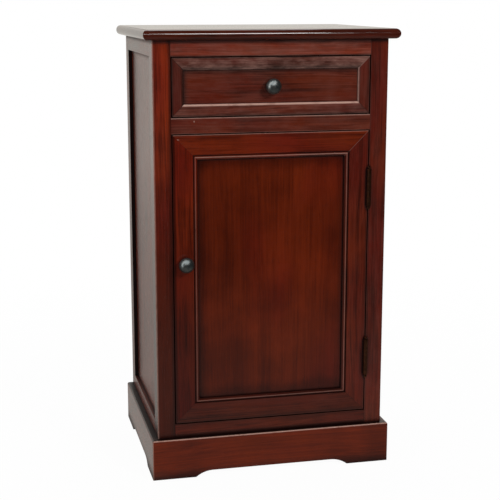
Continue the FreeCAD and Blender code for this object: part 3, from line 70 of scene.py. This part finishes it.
class Tree:
    """A node tree, filled by short calls that take numbers or sockets and return sockets."""

    def __init__(self, tree):
        self.nodes = tree.nodes
        self.links = tree.links

    def put(self, socket, value):
        """Links the socket to another one, or sets it to a number or a colour."""
        if isinstance(value, bpy.types.NodeSocket):
            self.links.new(value, socket)
        else:
            socket.default_value = value

    def node(self, kind, inputs, **settings):
        """A new node with its settings, its inputs given by name or number."""
        made = self.nodes.new(kind)
        for name, setting in settings.items():
            setattr(made, name, setting)
        for name, value in inputs.items():
            self.put(made.inputs[name], value)
        return made

    def maths(self, operation, *values):
        return self.node("ShaderNodeMath", dict(enumerate(values)), operation=operation).outputs[0]

    def vector(self, operation, *values):
        made = self.node("ShaderNodeVectorMath", dict(enumerate(values)), operation=operation)
        return made.outputs[0]

    def length(self, vector):
        return self.node("ShaderNodeVectorMath", {0: vector}, operation="LENGTH").outputs["Value"]

    def mixed(self, base, *parts):
        """The base plus each part times its weight."""
        for value, weight in parts:
            base = self.maths("MULTIPLY_ADD", value, weight, base)
        return base

    def ramp(self, value, low, high, out_low=0.0, out_high=1.0):
        """out_low below low, out_high above high, and a smooth step between."""
        sockets = {"Value": value, "From Min": low, "From Max": high,
                   "To Min": out_low, "To Max": out_high}
        made = self.node("ShaderNodeMapRange", sockets, interpolation_type="SMOOTHSTEP")
        return made.outputs["Result"]

    def blend(self, factor, first, second):
        """The first colour where the factor is 0, the second where it is 1."""
        colour_sockets = {0: factor, 6: first, 7: second}
        return self.node("ShaderNodeMix", colour_sockets, data_type="RGBA").outputs[2]

    def noise(self, place, scale, detail, roughness=0.5):
        """Cloudy noise, with scale cells a metre."""
        sockets = {"Vector": place, "Scale": scale, "Detail": detail, "Roughness": roughness}
        return self.node("ShaderNodeTexNoise", sockets).outputs["Fac"]

    def streaks(self, place, axis, cells, detail, roughness=0.5):
        """Noise drawn out along one axis; cells is how many a metre across it and along it."""
        across, along = cells
        scale = [across, across, across]
        scale[axis] = along
        drawn_out = self.node("ShaderNodeMapping", {"Vector": place, "Scale": scale}).outputs[0]
        return self.noise(drawn_out, 1.0, detail, roughness)

    def bump(self, height, strength, depth):
        """A normal that shows the height as a relief of that depth in metres."""
        sockets = {"Strength": strength, "Distance": depth, "Height": height}
        return self.node("ShaderNodeBump", sockets).outputs[0]

    def object_place(self, seed):
        """The point's place on its piece in metres, and the same shifted by the seed."""
        place = self.node("ShaderNodeTexCoord", {}).outputs["Object"]
        shift = tuple(seed * part for part in SEED_SHIFT)
        return place, self.vector("ADD", place, shift)

    def faces(self, place, low, high):
        """How far a point lies inside each face of the piece's box."""
        parts = self.node("ShaderNodeSeparateXYZ", {0: place}).outputs
        found = {}
        for axis, (first, last) in enumerate((("left", "right"), ("front", "back"), ("foot", "head"))):
            found[first] = self.maths("SUBTRACT", parts[axis], low[axis])
            found[last] = self.maths("SUBTRACT", high[axis], parts[axis])
        return found


class Material:
    """A material with its tree and its shader, whose constant sockets are given by name."""

    def __init__(self, name, **constants):
        self.made = bpy.data.materials.new(name)
        self.made.use_nodes = True
        self.tree = Tree(self.made.node_tree)
        self.sockets = self.made.node_tree.nodes["Principled BSDF"].inputs
        for socket, value in constants.items():
            self.sockets[socket].default_value = value

    def finish(self, colour, rough, relief):
        """Links the colour, the roughness and the relief; returns the material."""
        self.tree.put(self.sockets["Base Color"], colour)
        self.tree.put(self.sockets["Roughness"], rough)
        self.tree.put(self.sockets["Normal"], relief)
        return self.made


# ---------------------------------------------------------------- marks on stained wood

FULL_SHARE = 0.3    # the share of a band's reach over which it has its full strength


class Band:
    """A strip along one or two faces of a piece's box, centre metres in and fading out by reach.

    Along two faces it lies at the arris between them. As a mitre it lies where a point is as far
    inside the one face as inside the other.
    """

    def __init__(self, *faces, reach, centre=0.0, strength=0.8, waver=0.0, mitre=False):
        self.faces = faces
        self.reach = reach
        self.centre = centre
        self.strength = strength
        self.waver = waver      # how unevenly it ends, as a share of the reach
        self.mitre = mitre

    def mask(self, t, depths, cloud):
        """Its strength at a point, by the point's depths; the cloudy noise makes it uneven."""
        depth = depths[self.faces[0]]
        for face in self.faces[1:]:
            depth = t.maths("SUBTRACT" if self.mitre else "MAXIMUM", depth, depths[face])
        depth = t.maths("ABSOLUTE", t.maths("SUBTRACT", depth, self.centre))
        uneven = t.maths("MULTIPLY", t.maths("SUBTRACT", cloud, 0.5), self.waver * self.reach)
        full = self.reach * FULL_SHARE
        return t.ramp(t.maths("ADD", depth, uneven), full, self.reach, self.strength, 0.0)


class Chip:
    """A small knock through the lacquer of a front face, its place and size in metres."""

    def __init__(self, x, z, length, height):
        self.centre = (x, 0.0, z)
        self.stretch = (1 / length, 0.0, 1 / height)

    def mask(self, t, place, ragged):
        """Half bare at the middle; the ragged noise breaks its outline."""
        offset = t.vector("MULTIPLY", t.vector("SUBTRACT", place, self.centre), self.stretch)
        return t.ramp(t.maths("ADD", t.length(offset), ragged), 0.6, 1.5, 0.5, 0.0)


class Stain:
    """What sets one stained piece apart from the next."""

    def __init__(self, tone=0.9, warm=0.5, figure=1.0, arris_pale=0.05, rub_sheen=0.0, rough=0.17,
                 relief=0.3, shade_reach=0.011, light=(), dark=(), chips=()):
        self.tone = tone        # lightness of the stain
        self.warm = warm        # 0 is crimson, 1 is orange brown
        self.figure = figure    # contrast of the grain
        self.arris_pale = arris_pale        # how pale its arrises are: rubbed, and partly a painted highlight
        self.rub_sheen = rub_sheen      # greyish haze on its faces: rubbed lacquer, and partly a painted sheen
        self.rough = rough      # roughness of the lacquer
        self.relief = relief    # how far the grain shows in it
        self.shade_reach = shade_reach      # how far painted shade reaches out of its inner corners, in metres
        self.light = light      # bands made pale: painted highlights on beads, slopes, arrises and mitres, partly rubbed arrises too
        self.dark = dark        # bands made dark: painted shade beside gaps, in hollows and recesses and on ledges, ends of a piece made darker, and dark mitre joints
        self.chips = chips      # knocks through to the wood


# ---------------------------------------------------------------- wood

LACQUER_IOR = 1.4
SWAY_CELLS = (9.0, 2.2)         # slow wander of the grain; cells a metre across and along it
STAINED_SWAY = 0.03             # how far it wanders, in metres
PLAIN_SWAY = 0.02

CRIMSON = screen(94, 20, 8)
ORANGE_BROWN = screen(104, 32, 6)
DEEP_STAIN = screen(50, 10, 3)
# pale bare wood of rubbed arrises and chips, also the colour of painted highlights
PALE_WOOD_AND_HIGHLIGHT = screen(190, 152, 138)
# grey of dulled lacquer and of a painted sheen
DULL_AND_SHEEN_GREY = screen(128, 92, 82)
# painted shade in inner corners, gaps and recesses
CREVICE_SHADE = screen(20, 4, 3)
PORE_SHADE = 0.5                # pores, against the deep stain
BAND_SHADE = 0.35               # the dark bands' painted shade and mitre joints, against the deep stain
MEAN_DEPTH = 0.47               # the grain's middle value, halfway from the deep stain to the reds
ARRIS_PALE_FULL = 0.0004             # depth to which an arris is pale in full, rubbed and painted highlight, in metres
ARRIS_PALE_NONE = 0.0014            # depth from which it isn't pale

PALE_POPLAR = screen(196, 158, 112)
BROWN_POPLAR = screen(150, 112, 74)
DARK_FIBRE = screen(112, 80, 52)
DUST_BROWN = screen(132, 104, 78)


def long_axis(low, high):
    """The axis along which the piece is longest, which its grain follows."""
    size = high - low
    return max(range(3), key=lambda axis: size[axis])


def grain(t, shifted, axis, sway):
    """Coordinates that wander by up to sway metres across straight grain."""
    drift = t.streaks(shifted, axis, SWAY_CELLS, 2.0)
    across = [other for other in range(3) if other != axis]
    sideways = t.node("ShaderNodeCombineXYZ", {other: drift for other in across}).outputs[0]
    return t.vector("ADD", shifted, t.vector("MULTIPLY", sideways, (sway, sway, sway)))


class Mahogany:
    """The patterns of one stained piece, each between 0 and 1."""

    def __init__(self, t, shifted, axis):
        bent = grain(t, shifted, axis, STAINED_SWAY)
        specks = t.streaks(bent, axis, (1500.0, 55.0), detail=2.0)
        self.pores = t.ramp(specks, 0.58, 0.72)
        self.fine = t.streaks(bent, axis, (430.0, 7.0), detail=4.0, roughness=0.6)
        self.ribbon = t.streaks(bent, axis, (70.0, 2.6), detail=2.0)
        self.hue = t.streaks(shifted, axis, (12.0, 5.0), detail=1.0)
        self.blotch = t.noise(shifted, 11.0, detail=3.0, roughness=0.55)
        # patches of dulled lacquer and painted sheen, and the ragged noise that breaks up pale
        # arrises, painted highlights and chips
        self.patches = t.streaks(bent, axis, (75.0, 28.0), detail=4.0, roughness=0.62)
        self.ragged = t.noise(shifted, 70.0, detail=4.0, roughness=0.6)


def stain_colour(t, wood, stain):
    """Two reds, darker in the pores and where the grain drank more of the stain."""
    turn = 0.55 - stain.warm * 0.3      # about where crimson turns to orange brown
    lights = t.blend(t.ramp(wood.hue, turn - 0.12, turn + 0.30),
                     scaled(CRIMSON, stain.tone), scaled(ORANGE_BROWN, stain.tone))
    darks = scaled(DEEP_STAIN, stain.tone)
    depth = t.mixed(0.0, (wood.blotch, 0.30), (wood.ribbon, 0.30), (wood.fine, 0.40))
    spread = 0.12 / stain.figure
    colour = t.blend(t.ramp(depth, MEAN_DEPTH - spread, MEAN_DEPTH + spread), darks, lights)
    return t.blend(t.maths("MULTIPLY", wood.pores, 0.35), colour, scaled(darks, PORE_SHADE))


def arris_rub_and_highlight(t, wood, depths, arris_pale):
    """How pale the arrises are, rubbed bare and partly a painted highlight on their rounds, by the
    middle one of a point's depths along X, Y and Z.
    """
    x = t.maths("MINIMUM", depths["left"], depths["right"])
    y = t.maths("MINIMUM", depths["front"], depths["back"])
    z = t.maths("MINIMUM", depths["foot"], depths["head"])
    middle = t.maths("MINIMUM", t.maths("MAXIMUM", x, y),
                     t.maths("MAXIMUM", t.maths("MINIMUM", x, y), z))
    edge = t.ramp(middle, ARRIS_PALE_FULL, ARRIS_PALE_NONE, arris_pale, 0.0)
    return t.maths("MULTIPLY", edge, t.ramp(wood.ragged, 0.30, 0.60, 0.45, 1.0))


def dull_and_sheen_patches(t, wood, rub_sheen):
    """Greyish patches, partly dulled lacquer and partly a painted sheen, strongest where the fine
    grain stands high.
    """
    spread = 0.36 - 0.2 * rub_sheen
    patches = t.ramp(wood.patches, 0.5 - spread, 0.5 + spread, 0.15 * rub_sheen, 0.7 * rub_sheen)
    return t.maths("MULTIPLY", patches, t.ramp(wood.fine, 0.35, 0.65, 0.7, 1.3))


def painted_crevice_shade(t, reach):
    """Painted shade where other faces stand closer than reach in front of the point."""
    crevice = t.node("ShaderNodeAmbientOcclusion", {"Distance": reach}, samples=8).outputs["AO"]
    return t.ramp(crevice, 0.40, 0.95, 0.92, 0.0)


def stained_wood(node, seed, stain):
    """Mahogany stain under satin lacquer, with the grain along the piece's length, and painted shade
    and highlights.
    """
    low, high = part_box(node)
    axis = long_axis(low, high)
    material = Material("stained_" + node, IOR=LACQUER_IOR)
    t = material.tree
    place, shifted = t.object_place(seed)
    depths = t.faces(place, low, high)
    wood = Mahogany(t, shifted, axis)
    dull_and_sheen_mask = dull_and_sheen_patches(t, wood, stain.rub_sheen)
    corner_shade = painted_crevice_shade(t, stain.shade_reach)
    shade_and_joint_colour = scaled(scaled(DEEP_STAIN, stain.tone), BAND_SHADE)

    colour = stain_colour(t, wood, stain)
    # arrises rubbed pale, partly a painted highlight on their rounds
    colour = t.blend(arris_rub_and_highlight(t, wood, depths, stain.arris_pale), colour, PALE_WOOD_AND_HIGHLIGHT)
    # dark bands: painted shade beside gaps, in hollows and recesses and on ledges, ends made darker,
    # and dark mitre joints
    for band in stain.dark:
        colour = t.blend(band.mask(t, depths, wood.blotch), colour, shade_and_joint_colour)
    # greyish haze: dulled lacquer and a painted sheen
    colour = t.blend(dull_and_sheen_mask, colour, DULL_AND_SHEEN_GREY)
    # painted shade in inner corners, gaps and recesses
    colour = t.blend(corner_shade, colour, CREVICE_SHADE)
    broken = t.ramp(wood.ragged, 0.30, 0.55, 0.7, 1.0)
    # pale bands: painted highlights on beads, slopes, arrises and mitres, partly rubbed arrises
    for band in stain.light:
        rub_and_highlight = t.maths("MULTIPLY", band.mask(t, depths, wood.blotch), broken)
        colour = t.blend(rub_and_highlight, colour, PALE_WOOD_AND_HIGHLIGHT)
    for chip in stain.chips:
        colour = t.blend(chip.mask(t, place, wood.ragged), colour, PALE_WOOD_AND_HIGHLIGHT)

    smoothest = stain.rough - 0.06
    rough = t.mixed(smoothest, (wood.pores, 0.08), (wood.fine, 0.12), (corner_shade, 0.6), (dull_and_sheen_mask, 0.15))
    height = t.mixed(0.0, (wood.fine, 0.5), (wood.ribbon, 0.8), (wood.pores, -0.3))
    return material.finish(colour, rough, t.bump(height, stain.relief, depth=0.0005))


def plain_wood(node, seed):
    """Pale planed poplar inside the case: growth lines, fibres and dust."""
    low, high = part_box(node)
    axis = long_axis(low, high)
    material = Material("plain_" + node, IOR=LACQUER_IOR)
    t = material.tree
    _, shifted = t.object_place(seed)
    bent = grain(t, shifted, axis, PLAIN_SWAY)
    growth = t.streaks(bent, axis, (150.0, 3.0), detail=4.0, roughness=0.55)
    fibre = t.streaks(bent, axis, (900.0, 30.0), detail=2.0)
    dust = t.noise(shifted, 20.0, detail=4.0, roughness=0.6)
    colour = t.blend(t.ramp(growth, 0.38, 0.62), BROWN_POPLAR, PALE_POPLAR)
    colour = t.blend(t.ramp(fibre, 0.55, 0.75, 0.0, 0.35), colour, DARK_FIBRE)
    colour = t.blend(t.ramp(dust, 0.45, 0.75, 0.0, 0.35), colour, DUST_BROWN)
    rough = t.mixed(0.45, (growth, 0.2))
    height = t.mixed(growth, (fibre, 0.6))
    return material.finish(colour, rough, t.bump(height, strength=0.4, depth=0.0004))


# ---------------------------------------------------------------- metal and plastic

def bronze(name, body, shine, rough):
    """Blackened bronze: a dark coat with a lighter bloom and faint hand marks."""
    material = Material(name, Metallic=0.9)
    t = material.tree
    _, place = t.object_place(seed=2)
    bloom = t.noise(place, 260.0, detail=4.0, roughness=0.6)
    marks = t.noise(place, 900.0, detail=3.0, roughness=0.6)
    colour = t.blend(t.ramp(bloom, 0.4, 0.65), body, shine)
    relief = t.bump(marks, strength=0.2, depth=0.0002)
    return material.finish(colour, t.mixed(rough, (marks, 0.14)), relief)


def zinc():
    """Zinc-plated steel: bright, with fine drawn lines and dull patches."""
    material = Material("zinc_steel", Metallic=1.0)
    t = material.tree
    _, place = t.object_place(seed=5)
    lines = t.streaks(place, Z_AXIS, (2400.0, 300.0), detail=2.0)
    dull = t.noise(place, 320.0, detail=3.0, roughness=0.6)
    colour = t.blend(t.ramp(dull, 0.4, 0.7), screen(196, 196, 190), screen(150, 148, 138))
    relief = t.bump(lines, strength=0.15, depth=0.0002)
    return material.finish(colour, t.mixed(0.22, (dull, 0.25)), relief)


def brown_plastic():
    """Moulded brown plastic with a fine sparked texture."""
    material = Material("brown_plastic", IOR=1.46)
    t = material.tree
    _, place = t.object_place(seed=7)
    sparks = t.noise(place, 2600.0, detail=2.0)
    cloud = t.noise(place, 180.0, detail=3.0)
    colour = t.blend(t.ramp(cloud, 0.35, 0.7), screen(92, 62, 46), screen(112, 78, 58))
    relief = t.bump(sparks, strength=0.25, depth=0.0002)
    return material.finish(colour, t.mixed(0.38, (cloud, 0.18)), relief)


# ---------------------------------------------------------------- materials on the pieces

def seam_shade(side, reach=0.004, strength=0.75):
    """Painted shade on the edge beside a gap."""
    return Band(side, reach=reach, strength=strength)


def mitre(side, end, strength=0.35):
    """The line of a mitre, from the corner between that side and that end: among the dark bands the
    joint itself, among the pale ones a painted highlight along it.
    """
    return Band(side, end, reach=0.0012, strength=strength, mitre=True)


def crest_highlight(side, strength):
    """A painted highlight along the crest of the bead, beside that edge of a door frame member."""
    return Band(side, reach=0.0011, centre=0.0040, strength=strength)


def recess_shade(side):
    """Painted shade on the inner side of the bead, towards the panel."""
    return Band(side, reach=0.003, strength=0.6)


def door_panel_shade():
    """Dark along the door panel's edges, and darker towards its lower left."""
    edges = (("left", 0.035, 0.45), ("right", 0.03, 0.35), ("head", 0.035, 0.45),
             ("foot", 0.035, 0.45), ("left", 0.16, 0.22), ("foot", 0.25, 0.15))
    bands = [Band(side, reach=reach, strength=strength, waver=1.3) for side, reach, strength in edges]
    return bands + [Band("left", "foot", reach=0.24, strength=0.14, waver=0.6)]


SIDE = Stain(tone=1.1, warm=1.0, rough=0.25)
STAINS = {    # a stained piece without an entry gets the plain Stain()
    "top_board": Stain(tone=0.42, warm=0.9, arris_pale=0.0, rub_sheen=0.07, rough=0.09, relief=0.06),
    "post_front_left": Stain(
        tone=1.42, warm=1.0, rub_sheen=0.03, rough=0.22,
        # painted shade beside the door gap, and painted shade darkening it towards the foot
        dark=[seam_shade("right", reach=0.006), Band("foot", reach=0.6)],
        # a pale outer arris, partly a painted highlight and partly rubbed
        light=[Band("left", "front", reach=0.003, strength=0.3)]),
    # painted shade beside the door gap
    "post_front_right": Stain(tone=0.71, warm=0.5, rub_sheen=0.11, dark=[seam_shade("left", strength=0.4)]),
    "post_back_left": Stain(
        tone=1.1, warm=1.0, rough=0.25,
        # painted shade on the strip of its front face in the side panel's recess
        dark=[Band("front", reach=0.002, strength=1.0)]),
    "side_rail_top_left": SIDE,
    "side_rail_bottom_left": SIDE,
    "side_panel_left": SIDE,
    # painted shade along its foot, beside the drawer gap
    "front_rail_top": Stain(tone=1.18, warm=0.7, rub_sheen=0.46, dark=[seam_shade("foot", reach=0.003)]),
    "front_rail_middle": Stain(
        tone=0.66, warm=0.5, rub_sheen=0.24, arris_pale=0.1,
        # painted highlight along its top front arris, partly rubbed
        light=[Band("head", "front", reach=0.0022, strength=0.35)],
        chips=[Chip(x=-0.132, z=0.6135, length=0.0014, height=0.002)]),
    "front_rail_bottom": Stain(
        tone=0.64, warm=0.6, rub_sheen=0.07,
        # painted shade beside the door gap and in the joint above the plinth
        dark=[seam_shade("head", strength=0.5), seam_shade("foot", reach=0.008)]),
    "drawer_frame_top": Stain(
        tone=0.5, warm=0.3, rub_sheen=0.9,
        # painted shade beside the gap above, and below its inner slope
        dark=[seam_shade("head", reach=0.0025), Band("foot", reach=0.011, strength=0.95)]),
    "drawer_frame_bottom": Stain(
        tone=0.66, warm=0.4, rub_sheen=0.42, arris_pale=0.1,
        # painted shade beside the gap below
        dark=[seam_shade("foot", reach=0.005)],
        # painted highlight on its inner slope, which faces up
        light=[Band("head", centre=0.0015, reach=0.0024, strength=0.9)]),
    "drawer_frame_left": Stain(
        tone=0.5, warm=0.4, rub_sheen=0.22, arris_pale=0.1,
        # painted shade beside the gap and along its inner edge, and dark mitre joints
        dark=[seam_shade("left"), Band("right", reach=0.006), mitre("left", "head"), mitre("left", "foot")]),
    "drawer_frame_right": Stain(
        tone=0.6, warm=0.3, rub_sheen=0.2, arris_pale=0.1,
        # painted shade beside the gap, and a dark mitre joint
        dark=[seam_shade("right", reach=0.002), mitre("right", "foot")],
        # painted highlights along its inner edge and its upper mitre
        light=[Band("left", centre=0.001, reach=0.0018, strength=0.4), mitre("right", "head", 0.5)]),
    "drawer_front_panel": Stain(
        tone=0.64, warm=0.5, rub_sheen=0.22,
        # painted shadow of the frame along its top and left edges
        dark=[Band("head", reach=0.016), Band("left", reach=0.015)]),
    "door_rail_top": Stain(
        tone=0.92, warm=0.5, rub_sheen=0.03,
        # painted shade in the hollow inside the bead
        dark=[recess_shade("foot")],
        # painted highlight on the bead's crest, and a pale top arris, partly highlight and partly
        # rubbed
        light=[crest_highlight("foot", 0.36), Band("head", "front", reach=0.0018, strength=0.25)],
        chips=[Chip(x=-0.012, z=0.5925, length=0.0035, height=0.0016),
               Chip(x=-0.160, z=0.5840, length=0.004, height=0.0014)]),
    "door_rail_bottom": Stain(
        tone=0.48, warm=0.7, rub_sheen=0.07,
        # painted shade beside the gap below and in the hollow inside the bead
        dark=[seam_shade("foot", strength=0.5), recess_shade("head")],
        # painted highlight on the bead's crest
        light=[crest_highlight("head", 0.2)]),
    "door_stile_left": Stain(
        tone=1.05, warm=0.5,
        # painted shade beside the gap and in the hollow inside the bead, darker towards the bottom,
        # and a dark mitre joint
        dark=[seam_shade("left", reach=0.006), recess_shade("right"), Band("foot", reach=0.4, strength=0.55),
              mitre("left", "foot")],
        # painted highlight on the bead's crest
        light=[crest_highlight("right", 0.14)]),
    "door_stile_right": Stain(
        tone=0.7, warm=0.5, rub_sheen=0.06,
        # painted shade beside the gap and in the bead's hollow, and a dark mitre joint
        dark=[seam_shade("right", strength=0.4), recess_shade("left"), mitre("right", "foot")],
        # painted highlights on the bead's crest and along the upper mitre
        light=[crest_highlight("left", 0.2), mitre("right", "head", 0.18)]),
    "door_panel": Stain(tone=0.97, warm=1.0, figure=0.4, dark=door_panel_shade()),
    "plinth_left": Stain(
        tone=1.1, warm=1.0, shade_reach=0.03,
        # painted shade on its top ledge
        dark=[Band("head", reach=0.002, strength=1.0)]),
    "plinth_front": Stain(
        tone=1.06, warm=1.0, figure=0.5, arris_pale=0.2, shade_reach=0.03,
        # painted shade on its top ledge, and darker towards its right end
        dark=[Band("head", reach=0.001, strength=1.0),
              Band("right", reach=0.06, strength=0.25, waver=1.0)],
        # painted highlights on its top and left front arrises, partly rubbed
        light=[Band("head", "front", reach=0.0026, strength=0.9),
               Band("left", "front", reach=0.002, strength=0.45)]),
}
KNOBS = ("door_knob", "drawer_knob")

knob_bronze = bronze("bronze_knob", screen(80, 86, 86), screen(98, 100, 98), rough=0.24)
hinge_bronze = bronze("bronze_hinge", screen(73, 45, 30), screen(99, 60, 40), rough=0.34)
steel = zinc()
plastic = brown_plastic()
slots = {part["node"]: part["material_slot"] for part in frame["record"]["subparts"]}


def material_of(node, seed):
    """The material of a node, by its slot in the record."""
    slot = slots[node]
    if slot == "stained_wood":
        return stained_wood(node, seed, STAINS.get(node, Stain()))
    if slot == "plain_wood":
        return plain_wood(node, seed)
    if slot == "dark_metal":
        return knob_bronze if node in KNOBS else hinge_bronze
    return {"steel": steel, "plastic": plastic}[slot]


for seed, node in enumerate(sorted(frame["nodes"])):
    material = material_of(node, seed)
    for place in frame["nodes"][node].material_slots:
        place.material = material


# ---------------------------------------------------------------- rounded arrises

WELD_REACH = 0.00001            # metres
FLAT_ANGLE = math.radians(0.5)  # faces that meet at less are one face
ARRIS_ANGLE = math.radians(30)  # faces that meet at more have an arris between them
ARRIS_WIDTH = 0.0006            # metres


def round_arrises(piece):
    """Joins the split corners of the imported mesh, merges its flat faces and rounds its arrises.

    The last modifier keeps the large faces flat, so that only the rounds between them turn.
    """
    weld = piece.modifiers.new("weld", "WELD")
    weld.merge_threshold = WELD_REACH
    flat = piece.modifiers.new("flat", "DECIMATE")
    flat.decimate_type = "DISSOLVE"
    flat.angle_limit = FLAT_ANGLE
    bevel = piece.modifiers.new("arris", "BEVEL")
    bevel.width = ARRIS_WIDTH
    bevel.segments = 2
    bevel.limit_method = "ANGLE"
    bevel.angle_limit = ARRIS_ANGLE
    bevel.use_clamp_overlap = True
    piece.modifiers.new("shading", "WEIGHTED_NORMAL")


for node, slot in slots.items():
    if slot in ("stained_wood", "plain_wood"):
        round_arrises(frame["nodes"][node])


# ---------------------------------------------------------------- studio

WHITE = (1.0, 1.0, 1.0, 1.0)
WARM_WHITE = (1.0, 0.965, 0.89, 1.0)    # the studio as the table's surfaces mirror it
PAPER = (0.82, 0.82, 0.82, 1.0)
AMBIENT = 0.35                          # light of the world on the table
FLOOR_SIZE = 40
FLOOR_DROP = 0.0005                     # feet to paper, so that their faces don't coincide
FRONT_LEFT = (-0.2, -0.2, 0.0)          # near the table's front left corner, on the floor


def surround(t, direction):
    """How bright the studio looks in a reflection: white behind the table, dark behind the camera."""
    toward_back = t.node("ShaderNodeSeparateXYZ", {0: direction}).outputs[Y_AXIS]
    return t.ramp(toward_back, 0.3, 0.85, 0.03, 0.76)


def studio_white(t, rays):
    """White to the camera and warm in a reflection."""
    return t.blend(rays["Is Glossy Ray"], WHITE, WARM_WHITE)


def seen_directly(t, rays):
    """1 for the camera, also through a clear surface."""
    return t.maths("MAXIMUM", rays["Is Camera Ray"], rays["Is Transmission Ray"])


def studio_world():
    """A white background that lights the table only a little."""
    world = bpy.data.worlds.new("studio")
    world.use_nodes = True
    scene.world = world
    t = Tree(world.node_tree)
    background = world.node_tree.nodes["Background"].inputs
    rays = t.node("ShaderNodeLightPath", {}).outputs
    direction = t.node("ShaderNodeTexCoord", {}).outputs["Generated"]
    mirrored = t.maths("MULTIPLY", rays["Is Glossy Ray"], surround(t, direction))
    ambient = t.maths("MULTIPLY", rays["Is Diffuse Ray"], AMBIENT)
    indirect = t.maths("MAXIMUM", mirrored, ambient)
    t.put(background["Color"], studio_white(t, rays))
    t.put(background["Strength"], t.maths("ADD", seen_directly(t, rays), indirect))


def mirrored_floor(t, spot, away):
    """How bright the floor looks in a reflection: like the studio beyond it, and never quite dark."""
    from_corner = t.vector("NORMALIZE", t.vector("SUBTRACT", spot, FRONT_LEFT))
    like_studio = t.maths("MULTIPLY", surround(t, from_corner), t.ramp(away, 0.2, 5.0, 0.61, 1.0))
    return t.maths("MAXIMUM", like_studio, t.ramp(away, 0.4, 2.0, 0.30, 0.02))


def paper_floor():
    """White paper that keeps a trace of the table's shadow near its feet."""
    bpy.ops.mesh.primitive_plane_add(size=FLOOR_SIZE, location=(0, 0, cad_box[0].z - FLOOR_DROP))
    floor = bpy.context.object
    floor.name = "studio_floor"
    paper = Material("paper_floor")
    t = paper.tree
    rays = t.node("ShaderNodeLightPath", {}).outputs
    spot = t.node("ShaderNodeNewGeometry", {}).outputs["Position"]
    away = t.length(spot)
    seen = seen_directly(t, rays)
    brightness = t.mixed(seen, (rays["Is Glossy Ray"], mirrored_floor(t, spot, away)))
    glow_share = t.mixed(rays["Is Glossy Ray"], (seen, t.ramp(away, 0.3, 1.6, 0.97, 1.0)))
    glow = t.node("ShaderNodeEmission", {"Color": studio_white(t, rays), "Strength": brightness})
    matt = t.node("ShaderNodeBsdfDiffuse", {"Color": PAPER})
    both = t.node("ShaderNodeMixShader", {0: glow_share, 1: matt.outputs[0], 2: glow.outputs[0]})
    t.put(t.nodes["Material Output"].inputs["Surface"], both.outputs[0])
    floor.data.materials.append(paper.made)


studio_world()
paper_floor()


# ---------------------------------------------------------------- lamps

TABLE_MIDDLE = (0, 0, 0.5)
LOWER_MIDDLE = (0, 0, 0.4)
KNOB_MIDDLE = (0, -0.2, 0.52)


def softbox(name, place, aim, size, power, only=(), mirrored=True):
    """A lamp of that width and height in metres and power in watts.

    It lights the nodes in only and nothing else, or else all but the knobs. One that isn't
    mirrored doesn't show in the lacquer.
    """
    lamp = bpy.data.lights.new(name, "AREA")
    lamp.shape = "RECTANGLE"
    lamp.size, lamp.size_y = size
    lamp.energy = power
    holder = bpy.data.objects.new(name, lamp)
    holder.location = place
    holder.rotation_euler = (Vector(aim) - Vector(place)).to_track_quat("-Z", "Y").to_euler()
    holder.visible_glossy = mirrored
    scene.collection.objects.link(holder)
    linked = bpy.data.collections.new(name + "_linked")
    for node in only or KNOBS:
        linked.objects.link(frame["nodes"][node])
    for entry in linked.collection_objects:
        entry.light_linking.link_state = "INCLUDE" if only else "EXCLUDE"
    holder.light_linking.receiver_collection = linked
    return holder


softbox("softbox_key", (1.2, -2.6, 2.0), TABLE_MIDDLE, size=(0.65, 0.7), power=52, mirrored=False)
softbox("softbox_left", (-2.1, -1.4, 1.5), LOWER_MIDDLE, size=(1.8, 1.8), power=14)
softbox("softbox_top", (0, 0.9, 2.6), LOWER_MIDDLE, size=(1.4, 1.4), power=26)
softbox("card_left", (-1.46, -0.54, 1.07), KNOB_MIDDLE, size=(0.8, 2.2), power=20, only=KNOBS)
softbox("card_top", (-0.18, -0.93, 1.82), KNOB_MIDDLE, size=(2.0, 2.0), power=42, only=KNOBS)

# a lamp that only shows in the lacquer of the top board
top_gleam = softbox("card_top_edge", (0.6, -2.9, 1.5), TABLE_MIDDLE, size=(0.65, 0.7), power=40,
                    only=("top_board",))
top_gleam.visible_diffuse = False


# ---------------------------------------------------------------- camera

CAMERA_PLACE = (-0.485446, -2.08272, 0.810688)
CAMERA_DIP = 11.87      # degrees below level
CAMERA_TURN = -13.06    # degrees from facing the front squarely
CAMERA_LENS = 86.204    # mm
SENSOR_WIDTH = 36.0     # mm

camera = bpy.data.cameras.new("camera")
camera.lens = CAMERA_LENS
camera.sensor_width = SENSOR_WIDTH
viewer = bpy.data.objects.new("camera", camera)
viewer.location = CAMERA_PLACE
viewer.rotation_euler = (math.radians(90 - CAMERA_DIP), 0, math.radians(CAMERA_TURN))
scene.collection.objects.link(viewer)
scene.camera = viewer
scene.view_settings.view_transform = "Standard"
